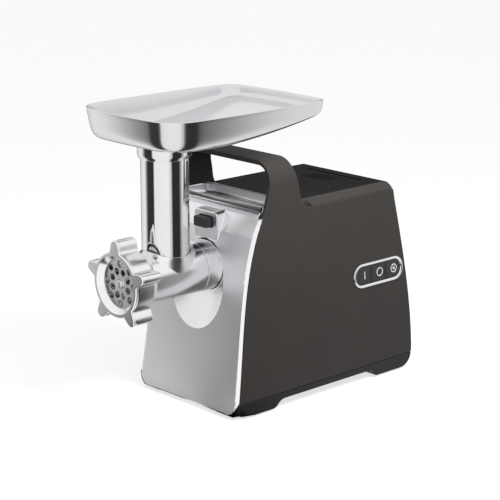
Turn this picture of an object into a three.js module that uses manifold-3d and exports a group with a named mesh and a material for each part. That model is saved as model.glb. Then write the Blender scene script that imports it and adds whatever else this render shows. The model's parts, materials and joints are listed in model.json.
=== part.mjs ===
// Electric meat grinder: a motor housing with a carrying handle, a removable grinding head and a
// feed tray. Millimetres. +Z is up, the head points along -Y, the push buttons are on the +X side,
// and the origin is on the table under the middle of the whole machine.
import * as THREE from "three";
import { mergeVertices } from "three/addons/utils/BufferGeometryUtils.js";
import Module from "manifold-3d";

// ---------------------------------------------------------------- driving dimensions
const GAP = 0.3; // clearance between parts that touch
const WIDE = 300; // a length that reaches past everything

// Housing
const HALF_WIDTH = 78; // half the width at the table
const LEAN = 0.045; // both sides move in by this much per millimetre of height
const SHELL = 3; // thickness of the side shells
const LEG = 5; // thickness of the handle's legs
const LEG_REAR = 25; // Y where the legs run out on the deck
const BASE_Z = 16.5; // seam between the base and the side shells
const PANEL_Z = 4; // lowest edge of the front panel
const SHELF_Z = 201; // rear of the shelf between the handle's legs
const SHELF_EDGE_Z = 206; // its front edge, from which it slopes down to the rear
const DECK_Z = 203; // top edge of the side shells
const TOP_Z = 211; // top face
const SEAM_Z = 225; // seam between the side shells and the handle bar
const HANDLE_Z = 256; // top of the handle
const PROUD = 3; // the front panel stands this far in front of the side shells
const CHAMFER = 4.5; // width of the bright chamfer beside the front panel

// Grinding head
const AXIS_Z = 144.5; // height of the barrel's axis
const TUBE_Y = -110; // the feed tube's axis
const POCKET_Y = -57; // floor of the pocket that the head enters
const BARREL_R = 26;
const BORE_R = 23;
const SPIGOT_R = 23.5; // rear end of the barrel, held by the locking collar
const PLATE_R = 27;
const PLATE_Y = -168.5; // front face of the cutting plate
const NUT_Y = -175.5; // front face of the ring nut
const NUT_LENGTH = 25;
const TUBE_R = 24;
const TUBE_TOP = 278.5;

// Tray
const RIM_Z = 311;
const TRAY_HALF_WIDTH = 77.5;
const TRAY_FRONT = -166;
const TRAY_REAR = 49;
const TRAY_BOW = 4; // the sides bow out by this much between the corners
const TRAY_WALL = 2;
const TRAY_CORNER_FRONT = 26;
const TRAY_CORNER_REAR = 13;
const TRAY_DRAFT = 4.5; // how far the walls move in over the tray's height
const TRAY_EDGE = 8; // chamfer between the walls and the floor
const TRAY_FLOOR = 280; // underside round the tube

// Push buttons, in one bezel on the right wall
const CONTROL = { y: 123, z: 116.5, length: 76, height: 26.4, rim: 3.4 };
const DIVIDERS = [-38, -10.6, 11.8, 38]; // along Y from the middle of the bezel

// Gears: module, teeth of the wheel and of the pinion that drives it
const STAGES = {
  output: { module: 1.5, wheel: 40, pinion: 11, y: -22, width: 11 },
  middle: { module: 1.25, wheel: 42, pinion: 10, y: -10, width: 9 },
  motor: { module: 1.0, wheel: 46, pinion: 9, y: 0, width: 8 },
};
const distance = (stage) => (stage.module * (stage.wheel + stage.pinion)) / 2;
const OUTPUT = { x: 0, z: AXIS_Z };
const IDLER_2 = beside(OUTPUT, distance(STAGES.output), 18);
const IDLER_1 = beside(IDLER_2, distance(STAGES.middle), -27);
const MOTOR = beside(IDLER_1, distance(STAGES.motor), 9);

// An axis at the given distance below another one, moved sideways by dx.
function beside(axis, reach, dx) {
  return { x: axis.x + dx, z: axis.z - Math.sqrt(reach * reach - dx * dx) };
}

// ---------------------------------------------------------------- finishes
function finish(color, roughness, metalness) {
  return new THREE.MeshStandardMaterial({ color, roughness, metalness, flatShading: true });
}
const CHARCOAL = finish(0x42403e, 0.5, 0.1);
const BASE_BLACK = finish(0x262525, 0.6, 0.0);
const GLOSS_BLACK = finish(0x1a191a, 0.15, 0.0);
const SATIN_SILVER = finish(0xa9a9aa, 0.32, 0.9);
const CAST_ALUMINIUM = finish(0xc4c4c6, 0.28, 1.0);
const MIRROR = finish(0xdedee0, 0.08, 1.0);
const CHROME = finish(0xe4e4e6, 0.1, 1.0);
const STEEL = finish(0xb4b5b8, 0.3, 1.0);
const RUBBER = finish(0x1c1c1c, 0.9, 0.0);
const BUTTON_BLACK = finish(0x28262a, 0.35, 0.0);
const WHITE_NYLON = finish(0xe6e4dc, 0.5, 0.0);
const GREY_NYLON = finish(0x6f7276, 0.55, 0.0);
const COPPER = finish(0xb06a3a, 0.35, 1.0);
const LAMINATION = finish(0x5a5c60, 0.45, 0.8);
const BRASS = finish(0xc0a050, 0.3, 1.0);
const CARBON = finish(0x2c2c30, 0.7, 0.0);
const BOARD_GREEN = finish(0x2e6b45, 0.6, 0.0);

// ---------------------------------------------------------------- solids
const wasm = await Module();
wasm.setup();

// A closed geometry as a solid that can be joined and cut.
function solid(geometry) {
  const bare = geometry.clone();
  bare.deleteAttribute("normal");
  bare.deleteAttribute("uv");
  const merged = mergeVertices(bare, 1e-3);
  const vertProperties = merged.attributes.position.array;
  const triVerts = new Uint32Array(merged.index.array);
  return new wasm.Manifold(new wasm.Mesh({ numProp: 3, vertProperties, triVerts }));
}

const join = (first, ...rest) => rest.reduce((made, next) => made.add(next), first);
const cut = (first, ...rest) => rest.reduce((made, next) => made.subtract(next), first);
const common = (first, ...rest) => rest.reduce((made, next) => made.intersect(next), first);

const part = new THREE.Group();

// Adds one named piece to a group.
function piece(name, material, made, group = part) {
  const { vertProperties, triVerts } = made.getMesh();
  const geometry = new THREE.BufferGeometry();
  geometry.setAttribute("position", new THREE.BufferAttribute(vertProperties, 3));
  geometry.setIndex(new THREE.BufferAttribute(triVerts, 1));
  const mesh = new THREE.Mesh(geometry, material);
  mesh.name = name;
  group.add(mesh);
}

// Extrusions: the shape's two coordinates are the two axes other than the one in the name.
const X = new THREE.Vector3(1, 0, 0);
const Y = new THREE.Vector3(0, 1, 0);
const Z = new THREE.Vector3(0, 0, 1);

function extrusion(shape, from, to, axes, { curveSegments = 3, steps = 1 } = {}) {
  const options = { depth: to - from, curveSegments, steps, bevelEnabled: false };
  const geometry = new THREE.ExtrudeGeometry(shape, options);
  geometry.translate(0, 0, from);
  return geometry.applyMatrix4(new THREE.Matrix4().makeBasis(...axes));
}

const CURVED = { curveSegments: 8 }; // for the housing's long curves
const extrudeX = (shape, from, to, detail) => extrusion(shape, from, to, [Y, Z, X], detail);
const extrudeY = (shape, from, to, detail) =>
  extrusion(shape, -to, -from, [X, Z, Y.clone().negate()], detail);
const extrudeZ = (shape, from, to, detail) => extrusion(shape, from, to, [X, Y, Z], detail);

// Moves every point's X in with its height, so that upright walls lean like the housing's sides.
function leaned(geometry) {
  const place = geometry.attributes.position;
  for (let i = 0; i < place.count; i++) {
    place.setX(i, place.getX(i) * (1 - (LEAN * place.getZ(i)) / HALF_WIDTH));
  }
  return geometry;
}

function box(low, high) {
  const size = high.map((value, i) => value - low[i]);
  const middle = high.map((value, i) => (value + low[i]) / 2);
  return new THREE.BoxGeometry(...size).translate(...middle);
}

// A turned solid about the Y axis through (x, z), from [radius, y] corners that close on themselves.
function turned(corners, x = 0, z = 0, segments = 26) {
  const loop = [...corners, corners[0]];
  let area = 0;
  for (let i = 0; i < corners.length; i++) {
    area += loop[i][0] * loop[i + 1][1] - loop[i + 1][0] * loop[i][1];
  }
  const ordered = area > 0 ? loop : loop.reverse();
  const points = ordered.map(([radius, y]) => new THREE.Vector2(radius, y));
  return solid(new THREE.LatheGeometry(points, segments).translate(x, 0, z));
}

// A plain cylinder along Y, and one along Z.
function rodY(radius, from, to, x = 0, z = 0, segments = 24) {
  const geometry = new THREE.CylinderGeometry(radius, radius, to - from, segments);
  return solid(geometry.translate(x, (from + to) / 2, z));
}

function rodZ(radius, from, to, x = 0, y = 0, segments = 24) {
  const geometry = new THREE.CylinderGeometry(radius, radius, to - from, segments);
  return solid(geometry.rotateX(Math.PI / 2).translate(x, y, (from + to) / 2));
}

function rodX(radius, from, to, y = 0, z = 0, segments = 16) {
  const geometry = new THREE.CylinderGeometry(radius, radius, to - from, segments);
  return solid(geometry.rotateZ(Math.PI / 2).translate((from + to) / 2, y, z));
}

function ringY(inner, outer, from, to, x = 0, z = 0, segments = 24) {
  const corners = [[inner, from], [outer, from], [outer, to], [inner, to]];
  return turned(corners, x, z, segments);
}

function rectangle(x0, y0, x1, y1, radius = 0) {
  const shape = new THREE.Shape();
  if (radius === 0) {
    shape.moveTo(x0, y0).lineTo(x1, y0).lineTo(x1, y1).lineTo(x0, y1);
    return shape;
  }
  shape.moveTo(x0 + radius, y0);
  shape.lineTo(x1 - radius, y0).absarc(x1 - radius, y0 + radius, radius, -Math.PI / 2, 0);
  shape.lineTo(x1, y1 - radius).absarc(x1 - radius, y1 - radius, radius, 0, Math.PI / 2);
  shape.lineTo(x0 + radius, y1);
  shape.absarc(x0 + radius, y1 - radius, radius, Math.PI / 2, Math.PI);
  shape.lineTo(x0, y0 + radius);
  shape.absarc(x0 + radius, y0 + radius, radius, Math.PI, Math.PI * 1.5);
  return shape;
}

// ---------------------------------------------------------------- housing outlines, in (Y, Z)
// The front edge of the side shells, and lines beside it: a shallow S that leans back.
function frontEdge(shape, dy, topZ) {
  shape.moveTo(-83 + dy, PANEL_Z);
  shape.bezierCurveTo(-71 + dy, 71, -72.5 + dy, 138, -40.5 + dy - (204 - topZ) * 0.42, topZ);
}

// The housing from the side: front edge, handle leg, flat deck and bowed rear.
function sideOutline() {
  const shape = new THREE.Shape();
  frontEdge(shape, 0, 204);
  shape.quadraticCurveTo(-27, 232, -31, HANDLE_Z + 4);
  shape.lineTo(2, HANDLE_Z + 4);
  shape.lineTo(9.5, 224);
  shape.quadraticCurveTo(11.5, DECK_Z, LEG_REAR, DECK_Z);
  shape.lineTo(148.5, DECK_Z);
  shape.bezierCurveTo(160, 150, 175.5, 85, 175.5, 24);
  shape.quadraticCurveTo(175.5, PANEL_Z, 157, PANEL_Z);
  return shape;
}

// Everything above one height, or between two.
function slab(low, high) {
  return solid(box([-WIDE, -WIDE, low], [WIDE, WIDE, high]));
}

// ---------------------------------------------------------------- side shells and handle
const SCREW_X = 64;
const BOSSES = [-58, 140]; // Y of the screw bosses

function sideShell(side) {
  const outer = side * HALF_WIDTH;
  const between = (a, b) => [Math.min(a, b), Math.max(a, b)];
  const plate = (thickness) =>
    solid(leaned(extrudeX(sideOutline(), ...between(outer, outer - side * thickness), CURVED)));
  const skin = common(plate(SHELL), slab(BASE_Z + GAP, SEAM_Z - GAP / 2));
  const leg = common(plate(LEG), slab(SHELF_Z + GAP, SEAM_Z - GAP / 2));
  const legOnly = common(leg, solid(box([-WIDE, -WIDE, 0], [WIDE, LEG_REAR + 1, WIDE])));
  let made = join(skin, legOnly);
  for (const y of BOSSES) {
    const boss = rodZ(5, BASE_Z + GAP, 40, side * SCREW_X, y, 16);
    const [low, high] = between(side * SCREW_X, side * 75.5);
    const rib = solid(box([low, y - 1.5, BASE_Z + GAP], [high, y + 1.5, 40]));
    made = cut(join(made, boss, rib), rodZ(2.2, 0, 34, side * SCREW_X, y, 12));
  }
  return made;
}

// The band of the handle from the front, in (X, Z), made straight and leaned afterwards.
function handleBand(inset, low) {
  const half = HALF_WIDTH - inset;
  const top = HANDLE_Z - inset;
  const radius = 24 - inset * 1.6;
  const shape = new THREE.Shape();
  shape.moveTo(-half, low).lineTo(half, low).lineTo(half, top - radius);
  shape.absarc(half - radius, top - radius, radius, 0, Math.PI / 2);
  shape.lineTo(-half + radius, top);
  shape.absarc(-half + radius, top - radius, radius, Math.PI / 2, Math.PI);
  return shape;
}

function handleBar() {
  const outside = solid(leaned(extrudeY(handleBand(0, SEAM_Z + GAP / 2), -60, 60)));
  const inside = solid(leaned(extrudeY(handleBand(LEG, 200), -61, 61)));
  const profile = solid(extrudeX(sideOutline(), -WIDE, WIDE, CURVED));
  return common(cut(outside, inside), profile);
}

piece("left_side_shell", CHARCOAL, sideShell(-1));
piece("right_side_shell", CHARCOAL, cut(sideShell(1), bezelOpening()));
piece("handle_bar", CHARCOAL, handleBar());

// ---------------------------------------------------------------- front panel
const FACE_TOP = 201; // the leaning face ends here and bends into the shelf
const PANEL_CORNER = 16; // radius of the lower corners
const HOOD_HALF = 17.5; // the hood round the release button
const HOOD_TOP = 200.5;
const UPSTAND = [60.8, 63.7]; // inner and outer face of the shelf's end walls
const COLLAR_HOLE_R = 26.9;
const RETAINER_ROOM_R = 33.4;
const BUTTON_LOW = 184.5;
const BUTTON_HIGH = 195;
const BUTTON_HALF = 10;

// The bent sheet: leaning face, shelf, and the wall up to the top face.
function panelSheet() {
  const shape = new THREE.Shape();
  frontEdge(shape, -PROUD, FACE_TOP);
  shape.quadraticCurveTo(-42.8, SHELF_EDGE_Z, -38, SHELF_EDGE_Z);
  shape.lineTo(-2, SHELF_Z);
  shape.quadraticCurveTo(1.4, SHELF_Z, 1.8, SHELF_Z + 3.5);
  shape.lineTo(2.4, TOP_Z).lineTo(4.6, TOP_Z).lineTo(4.2, SHELF_Z - 3);
  shape.lineTo(-39.5, SHELF_EDGE_Z - 3.5);
  shape.bezierCurveTo(-71.5, 136, -70.4, 71, -82.6, PANEL_Z);
  return shape;
}

// The strip beside the face, in front of the side shell.
function panelEdge() {
  const shape = new THREE.Shape();
  frontEdge(shape, -PROUD, FACE_TOP);
  shape.lineTo(-41.8 - GAP, FACE_TOP);
  shape.bezierCurveTo(-72.5 - GAP, 136, -71 - GAP, 71, -83 - GAP, PANEL_Z);
  return shape;
}

// What the bright chamfer takes off one side: a wedge along the front edge.
function chamferWedge(side) {
  const inner = HALF_WIDTH - CHAMFER;
  const outer = HALF_WIDTH + 2;
  const shape = new THREE.Shape();
  frontEdge(shape, -PROUD, FACE_TOP);
  shape.lineTo(-120, FACE_TOP).lineTo(-120, PANEL_Z);
  const [low, high] = side > 0 ? [inner, outer] : [-outer, -inner];
  const geometry = extrudeX(shape, low, high, CURVED);
  const place = geometry.attributes.position;
  for (let i = 0; i < place.count; i++) {
    const past = Math.abs(place.getX(i)) - inner;
    place.setY(i, place.getY(i) + (past * PROUD) / CHAMFER);
  }
  return solid(leaned(geometry));
}

// The panel from the front: round lower corners.
function panelFront(grow = 0) {
  const half = HALF_WIDTH + grow;
  const low = PANEL_Z - grow;
  const radius = PANEL_CORNER + grow;
  const shape = new THREE.Shape();
  shape.moveTo(-half + radius, low).lineTo(half - radius, low);
  shape.absarc(half - radius, low + radius, radius, -Math.PI / 2, 0);
  shape.lineTo(half, WIDE).lineTo(-half, WIDE).lineTo(-half, low + radius);
  shape.absarc(-half + radius, low + radius, radius, Math.PI, Math.PI * 1.5);
  return shape;
}

// The pocket round the barrel: a cone from the collar's circle to a wide oval in front of the face.
function pocketCone(extra, floorY) {
  const mouthY = -90;
  const cone = new THREE.CylinderGeometry(1, 1, 1, 36);
  const place = cone.attributes.position;
  for (let i = 0; i < place.count; i++) {
    const deep = place.getY(i) > 0; // the end at the pocket's floor
    const halfX = (deep ? 27.5 : 60) + extra;
    const halfZ = (deep ? 27.5 : 63) + extra;
    const middle = deep ? AXIS_Z : 115;
    place.setXYZ(i, place.getX(i) * halfX, deep ? floorY : mouthY, middle + place.getZ(i) * halfZ);
  }
  return solid(cone);
}

function frontPanel() {
  const half = HALF_WIDTH - CHAMFER;
  const sheet = solid(leaned(extrudeX(panelSheet(), -half, half, CURVED)));
  const edge = solid(leaned(extrudeX(panelEdge(), -HALF_WIDTH, HALF_WIDTH, CURVED)));
  const rounded = solid(leaned(extrudeY(panelFront(), -100, 20)));
  const faceBlock = new THREE.Shape();
  frontEdge(faceBlock, -PROUD, FACE_TOP);
  faceBlock.lineTo(40, FACE_TOP).lineTo(40, PANEL_Z);
  const behind = solid(leaned(extrudeX(faceBlock, -half, half, CURVED)));
  const pocketWall = common(pocketCone(3, POCKET_Y + 2.5), behind);
  const hoodFront = rectangle(-HOOD_HALF, 150, HOOD_HALF, HOOD_TOP, 4);
  const hood = solid(extrudeY(hoodFront, POCKET_Y, -42));
  const upstand = new THREE.Shape();
  upstand.moveTo(-41, SHELF_Z - 2).lineTo(-36.5, TOP_Z).lineTo(4.6, TOP_Z).lineTo(4.6, SHELF_Z - 2);
  const [inside, outside] = UPSTAND;
  const right = solid(extrudeX(upstand, inside, outside));
  const left = solid(extrudeX(upstand, -outside, -inside));
  const holeHalf = BUTTON_HALF + 0.5;
  const buttonHole = rectangle(-holeHalf, BUTTON_LOW - 0.5, holeHalf, BUTTON_HIGH + 0.5);
  const roomHalf = HOOD_HALF - 2.5;
  return cut(
    common(join(sheet, edge, pocketWall, hood, left, right), rounded),
    chamferWedge(1),
    chamferWedge(-1),
    pocketCone(0, POCKET_Y),
    rodY(COLLAR_HOLE_R, -80, -40, 0, AXIS_Z, 28),
    rodY(RETAINER_ROOM_R, POCKET_Y + 2.5, -30, 0, AXIS_Z, 28),
    solid(box([outside, -60, SHELF_Z], [WIDE, 20, WIDE])),
    solid(box([-WIDE, -60, SHELF_Z], [-outside, 20, WIDE])),
    solid(extrudeY(buttonHole, -90, -30)),
    solid(box([-roomHalf, POCKET_Y + 2.5, 150], [roomHalf, -30, SHELF_Z - 4])),
  );
}

piece("front_panel", SATIN_SILVER, frontPanel());

// ---------------------------------------------------------------- top cover, lid and bin
const LID = { half: 40, front: 55, rear: 129.4, corner: 7, thickness: 3, pivot: 2.6 };
const LID_AXIS = { y: LID.rear - LID.pivot, z: TOP_Z - LID.pivot };
const COVER_HALF = 62; // half width of the black top face

function coverSection() {
  const low = DECK_Z - 2.7;
  const shape = new THREE.Shape();
  const lip = DECK_Z + GAP;
  shape.moveTo(-65.7, low).lineTo(65.7, low).lineTo(65.7, lip).lineTo(68.5, lip);
  shape.lineTo(COVER_HALF, TOP_Z).lineTo(-COVER_HALF, TOP_Z);
  shape.lineTo(-68.5, lip).lineTo(-65.7, lip);
  return shape;
}

function coverProfile() {
  const shape = new THREE.Shape();
  shape.moveTo(4.9, DECK_Z - 2.7).lineTo(144, DECK_Z - 2.7).lineTo(148.2, DECK_Z + GAP);
  shape.quadraticCurveTo(147.4, TOP_Z, 142, TOP_Z).lineTo(4.9, TOP_Z);
  return shape;
}

function topCover() {
  const block = common(
    solid(extrudeY(coverSection(), 0, 160)),
    solid(extrudeX(coverProfile(), -WIDE, WIDE)),
  );
  const legRoom = (side) => {
    const [low, high] = side > 0 ? [63.9, WIDE] : [-WIDE, -63.9];
    return solid(box([low, 0, 200], [high, LEG_REAR + 1 + GAP, 230]));
  };
  const half = LID.half + 0.4;
  const rear = LID.rear + 0.4;
  const seat = rectangle(-half, LID.front - 0.4, half, rear, LID.corner);
  return cut(
    block,
    legRoom(1),
    legRoom(-1),
    solid(extrudeZ(seat, TOP_Z - LID.thickness - GAP, TOP_Z + 5)),
    solid(box([-half, 110, LID_AXIS.z - 0.8], [half, rear, 230])),
    solid(box([-37, 58, 190], [37, rear, 230])),
    rodX(1.1, -44, 44, LID_AXIS.y, LID_AXIS.z, 12),
  );
}

// The lid lies in a rebate. Its rear edge is a round knuckle on the hinge pin.
function storageLid() {
  const plate = rectangle(-LID.half, LID.front, LID.half, LID.rear, LID.corner);
  const flat = common(
    solid(extrudeZ(plate, TOP_Z - LID.thickness, TOP_Z)),
    solid(box([-WIDE, 0, 0], [WIDE, LID_AXIS.y, WIDE])),
  );
  const knuckle = rodX(LID.pivot, -36.5, 36.5, LID_AXIS.y, LID_AXIS.z, 24);
  const grips = [];
  for (let i = 0; i < 6; i++) {
    grips.push(solid(box([-19, 97 + i * 4, TOP_Z - 0.8], [19, 98.4 + i * 4, TOP_Z + 1])));
  }
  return cut(join(flat, knuckle), rodX(1.1, -50, 50, LID_AXIS.y, LID_AXIS.z, 12), ...grips);
}

function storageBin() {
  const outside = rectangle(-36.6, 58.4, 36.6, 119.6, 5);
  const inside = rectangle(-34.6, 60.4, 34.6, 117.6, 3);
  const flange = rectangle(-41, 54, 41, 119.6, 3);
  const top = DECK_Z - 3;
  return cut(
    join(solid(extrudeZ(outside, 160, top)), solid(extrudeZ(flange, top - 2, top))),
    solid(extrudeZ(inside, 162, top + 5)),
  );
}

piece("top_cover", GLOSS_BLACK, topCover());
piece("storage_lid", GLOSS_BLACK, storageLid());
piece("lid_hinge_pin", STEEL, rodX(0.8, -43.5, 43.5, LID_AXIS.y, LID_AXIS.z, 12));
piece("storage_bin", BASE_BLACK, storageBin());

// ---------------------------------------------------------------- rear cover and cord gland
const GLAND = { x: 0, z: 40, hole: 3.7 };

function rearCover() {
  const shape = new THREE.Shape();
  const low = BASE_Z + GAP;
  shape.moveTo(146.4, DECK_Z - 3).lineTo(149.2, DECK_Z - 3);
  shape.bezierCurveTo(160.3, 148, 175.5, 85, 175.5, 24).lineTo(174.6, low);
  shape.lineTo(171.6, low).lineTo(172.5, 24).bezierCurveTo(172.5, 85, 157, 148, 146.4, DECK_Z - 3);
  const half = HALF_WIDTH - SHELL - GAP;
  const slots = [];
  for (let i = 0; i < 8; i++) {
    const z = 76 + i * 8;
    slots.push(solid(box([-34, 140, z], [34, 190, z + 3.4])));
  }
  return cut(
    solid(leaned(extrudeX(shape, -half, half, CURVED))),
    rodY(8, 160, 190, GLAND.x, GLAND.z, 16),
    ...slots,
  );
}

piece("rear_cover", CHARCOAL, rearCover());
piece(
  "cord_gland",
  RUBBER,
  turned(
    [
      [GLAND.hole, 168], [9.5, 168], [9.5, 171.1], [7.7, 171.1], [7.7, 175.5], [GLAND.hole, 175.5],
    ],
    GLAND.x,
    GLAND.z,
    16,
  ),
);

// ---------------------------------------------------------------- base, feet and screws
const FEET = [
  { name: "front", y: [-72, -44] },
  { name: "rear", y: [127, 154] },
];
const FOOT_X = [50, 70];

// The base from the side: two feet with an arch between them.
function baseOutline() {
  const shape = new THREE.Shape();
  shape.moveTo(-82.6, BASE_Z).lineTo(-83.6, 3).lineTo(-81, 2).lineTo(-37, 2);
  shape.bezierCurveTo(-27, 2, -28, 10, -17, 10).lineTo(107, 10);
  shape.bezierCurveTo(116, 10, 114, 2, 121, 2).lineTo(156, 2);
  shape.quadraticCurveTo(172, 3, 174.6, BASE_Z);
  return shape;
}

const BASE_LIP = 2.2; // the base's front follows the panel's round corners at this distance
const LIP_REAR = -79;

function basePan() {
  const detail = { curveSegments: 6 };
  const block = solid(leaned(extrudeX(baseOutline(), -HALF_WIDTH, HALF_WIDTH, detail)));
  const tunnel = solid(box([-44, -WIDE, 0], [44, WIDE, 10]));
  const well = solid(box([-60, -70, 13], [60, 165, 20]));
  const frontRoom = solid(leaned(extrudeY(panelFront(GAP), -100, -80)));
  const lip = solid(leaned(extrudeY(panelFront(BASE_LIP), -100, -70)));
  const corners = cut(solid(box([-WIDE, -WIDE, 0], [WIDE, LIP_REAR, BASE_Z])), lip);
  let made = cut(block, tunnel, well, frontRoom, corners);
  for (const foot of FEET) {
    for (const side of [-1, 1]) {
      const [low, high] = side > 0 ? FOOT_X : [-FOOT_X[1], -FOOT_X[0]];
      const pad = rectangle(low - GAP, foot.y[0] - GAP, high + GAP, foot.y[1] + GAP, 6);
      made = cut(made, solid(extrudeZ(pad, 0, 4)));
    }
  }
  for (const [side, y] of screwPlaces()) {
    made = cut(made, rodZ(2.3, 0, 30, side * SCREW_X, y, 12), rodZ(4.2, 0, 12, side * SCREW_X, y, 16));
  }
  for (let i = 0; i < 7; i++) {
    made = cut(made, solid(box([-30, 30 + i * 9, 0], [30, 34 + i * 9, 30])));
  }
  return made;
}

function screwPlaces() {
  return BOSSES.flatMap((y) => [[-1, y], [1, y]]);
}

function rubberFoot(side, foot) {
  const [low, high] = side > 0 ? FOOT_X : [-FOOT_X[1], -FOOT_X[0]];
  const pad = rectangle(low, foot.y[0], high, foot.y[1], 6);
  return cut(
    solid(extrudeZ(pad, 0, 4 - GAP)),
    rodZ(4.6, -1, 10, side * SCREW_X, foot.y[0] < 0 ? BOSSES[0] : BOSSES[1], 16),
  );
}

piece("base_pan", BASE_BLACK, basePan());
for (const foot of FEET) {
  piece(`left_${foot.name}_foot`, RUBBER, rubberFoot(-1, foot));
  piece(`right_${foot.name}_foot`, RUBBER, rubberFoot(1, foot));
}
screwPlaces().forEach(([side, y], index) => {
  const screw = join(
    rodZ(1.9, 10, 30, side * SCREW_X, y, 12),
    rodZ(3.9, 8.8, 11.7, side * SCREW_X, y, 16),
  );
  const drive = solid(box([side * SCREW_X - 2.2, y - 0.5, 8], [side * SCREW_X + 2.2, y + 0.5, 10]));
  piece(`base_screw_${index + 1}`, STEEL, cut(screw, drive));
});

// ---------------------------------------------------------------- push buttons
// A frame on the right wall: its X points out of the wall.
const controls = new THREE.Group();
controls.position.set(HALF_WIDTH - LEAN * CONTROL.z, CONTROL.y, CONTROL.z);
controls.rotation.y = -Math.atan(LEAN);
part.add(controls);

function stadium(inset) {
  const y = CONTROL.length / 2 - inset;
  const z = CONTROL.height / 2 - inset;
  return rectangle(-y, -z, y, z, z - 0.01);
}

function bezelOpening() {
  const geometry = extrudeX(stadium(1.2), -10, 10);
  const wall = new THREE.Matrix4().makeRotationY(-Math.atan(LEAN));
  wall.setPosition(HALF_WIDTH - LEAN * CONTROL.z, CONTROL.y, CONTROL.z);
  return solid(geometry.applyMatrix4(wall));
}

function switchBezel() {
  const flange = solid(extrudeX(stadium(0), GAP, 1.9));
  const sleeve = solid(extrudeX(stadium(1.5), -6, 1.9));
  return cut(join(flange, sleeve), solid(extrudeX(stadium(CONTROL.rim), -20, 20)));
}

// A key fills the bezel's opening between two dividers.
function pushButton(index) {
  const [from, to] = [DIVIDERS[index] + 0.25, DIVIDERS[index + 1] - 0.25];
  const cap = solid(extrudeX(stadium(CONTROL.rim + 0.35), -8, 0.8));
  const span = solid(box([-20, from, -20], [20, to, 20]));
  return common(cap, span);
}

function switchModule() {
  return solid(box([-21, -30, -9], [-11, 30, 9]));
}

piece("switch_bezel", CHROME, switchBezel(), controls);
piece("on_button", BUTTON_BLACK, pushButton(0), controls);
piece("off_button", BUTTON_BLACK, pushButton(1), controls);
piece("reverse_button", BUTTON_BLACK, pushButton(2), controls);
piece("switch_module", GREY_NYLON, switchModule(), controls);
piece("control_board", BOARD_GREEN, solid(box([40, 96, 92], [41.6, 150, 142])));

// ---------------------------------------------------------------- release button and socket
function releaseButton() {
  const cap = rectangle(-BUTTON_HALF, BUTTON_LOW, BUTTON_HALF, BUTTON_HIGH, 1.5);
  const arm = solid(box([-4, -44, 168], [4, -40, 186]));
  const latch = rodY(1.8, -44.9, -42, 0, 170, 12);
  const springRoom = rodY(4.2, -50.5, -39, 0, 190, 16);
  return cut(join(solid(extrudeY(cap, -65, -40)), arm, latch), springRoom);
}

function latchSpring() {
  const turns = 4;
  const points = [];
  for (let i = 0; i <= turns * 8; i++) {
    const angle = (i * Math.PI) / 4;
    const y = -45.5 + (i / (turns * 8)) * 14.8;
    points.push(new THREE.Vector3(3 * Math.cos(angle), y, 190 + 3 * Math.sin(angle)));
  }
  const wire = new THREE.Shape().absarc(0, 0, 0.4, 0, Math.PI * 2);
  const route = new THREE.CatmullRomCurve3(points);
  const options = { steps: turns * 8, curveSegments: 3, extrudePath: route, bevelEnabled: false };
  return solid(new THREE.ExtrudeGeometry(wire, options));
}

function headSocket() {
  const cup = [[24.4, -30], [33, -30], [33, -49.2], [28.9, -49.2], [28.9, -45.1], [24.4, -45.1]];
  const armSlot = solid(box([-5, -45.6, 166], [5, -34, 182]));
  return cut(turned(cup, 0, AXIS_Z, 28), armSlot);
}

function lockingCollar() {
  const profile = [
    [SPIGOT_R + GAP, -75], [26.2, -75], [26.2, -49], [28.5, -49], [28.5, -45.5],
    [SPIGOT_R + GAP, -45.5],
  ];
  const slot = (angle) => {
    const groove = box([-4.3, -80, SPIGOT_R - 1], [4.3, -56, 25]);
    groove.rotateY(angle).translate(0, 0, AXIS_Z);
    return solid(groove);
  };
  return cut(turned(profile, 0, AXIS_Z, 28), slot(Math.PI / 2), slot(-Math.PI / 2));
}

piece("release_button", BUTTON_BLACK, releaseButton());
piece("latch_spring", STEEL, latchSpring());
piece("socket_retainer", STEEL, ringY(26.6, 33, -54.2, -49.5, 0, AXIS_Z, 28));
piece("head_socket", CAST_ALUMINIUM, headSocket());
piece("locking_collar", CAST_ALUMINIUM, lockingCollar());

// ---------------------------------------------------------------- grinding head
const head = new THREE.Group();
head.position.set(0, 0, AXIS_Z);
part.add(head);
const SEAT_Y = PLATE_Y + 5 + GAP; // the step in the barrel's mouth that the plate rests against
const MOUTH_Y = -166.5; // front end of the barrel
const NECK_ARCH = { radius: 62, middle: -35.2 }; // the flat arch that ends the neck at its top
const PLATE_KEY = 2; // half width of the key that stops the plate from turning

function headBarrel() {
  const shell = turned([
    [PLATE_R + GAP, MOUTH_Y], [30.2, MOUTH_Y], [30.2, -154], [BARREL_R, -147], [BARREL_R, -75 - GAP],
    [SPIGOT_R, -75 - GAP], [SPIGOT_R, -46], [21, -46], [21, -79], [BORE_R, -81], [BORE_R, SEAT_Y],
    [PLATE_R + GAP, SEAT_Y],
  ]);
  const port = rodZ(TUBE_R + GAP, 5, 40, 0, TUBE_Y, 28);
  const throat = rodZ(20, 0, 40, 0, TUBE_Y, 28);
  const seat = common(port, cut(rodY(WIDE, -WIDE, WIDE), rodY(24.4, -WIDE, WIDE, 0, 0, 28)));
  const lug = (side) => {
    const [low, high] = side > 0 ? [22.5, 24.7] : [-24.7, -22.5];
    return solid(box([low, -73, -4], [high, -57, 4]));
  };
  const key = solid(box([-PLATE_KEY, MOUTH_Y, 25.6], [PLATE_KEY, SEAT_Y + 1, 28.5]));
  const arch = rodY(NECK_ARCH.radius, -WIDE, WIDE, 0, NECK_ARCH.middle, 72);
  const neck = common(rodZ(BARREL_R, 0, 40, 0, TUBE_Y, 28), arch);
  const boss = cut(neck, rodY(BORE_R, -WIDE, WIDE, 0, 0, 26));
  return cut(join(shell, boss, lug(1), lug(-1), key), seat, throat);
}

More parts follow.
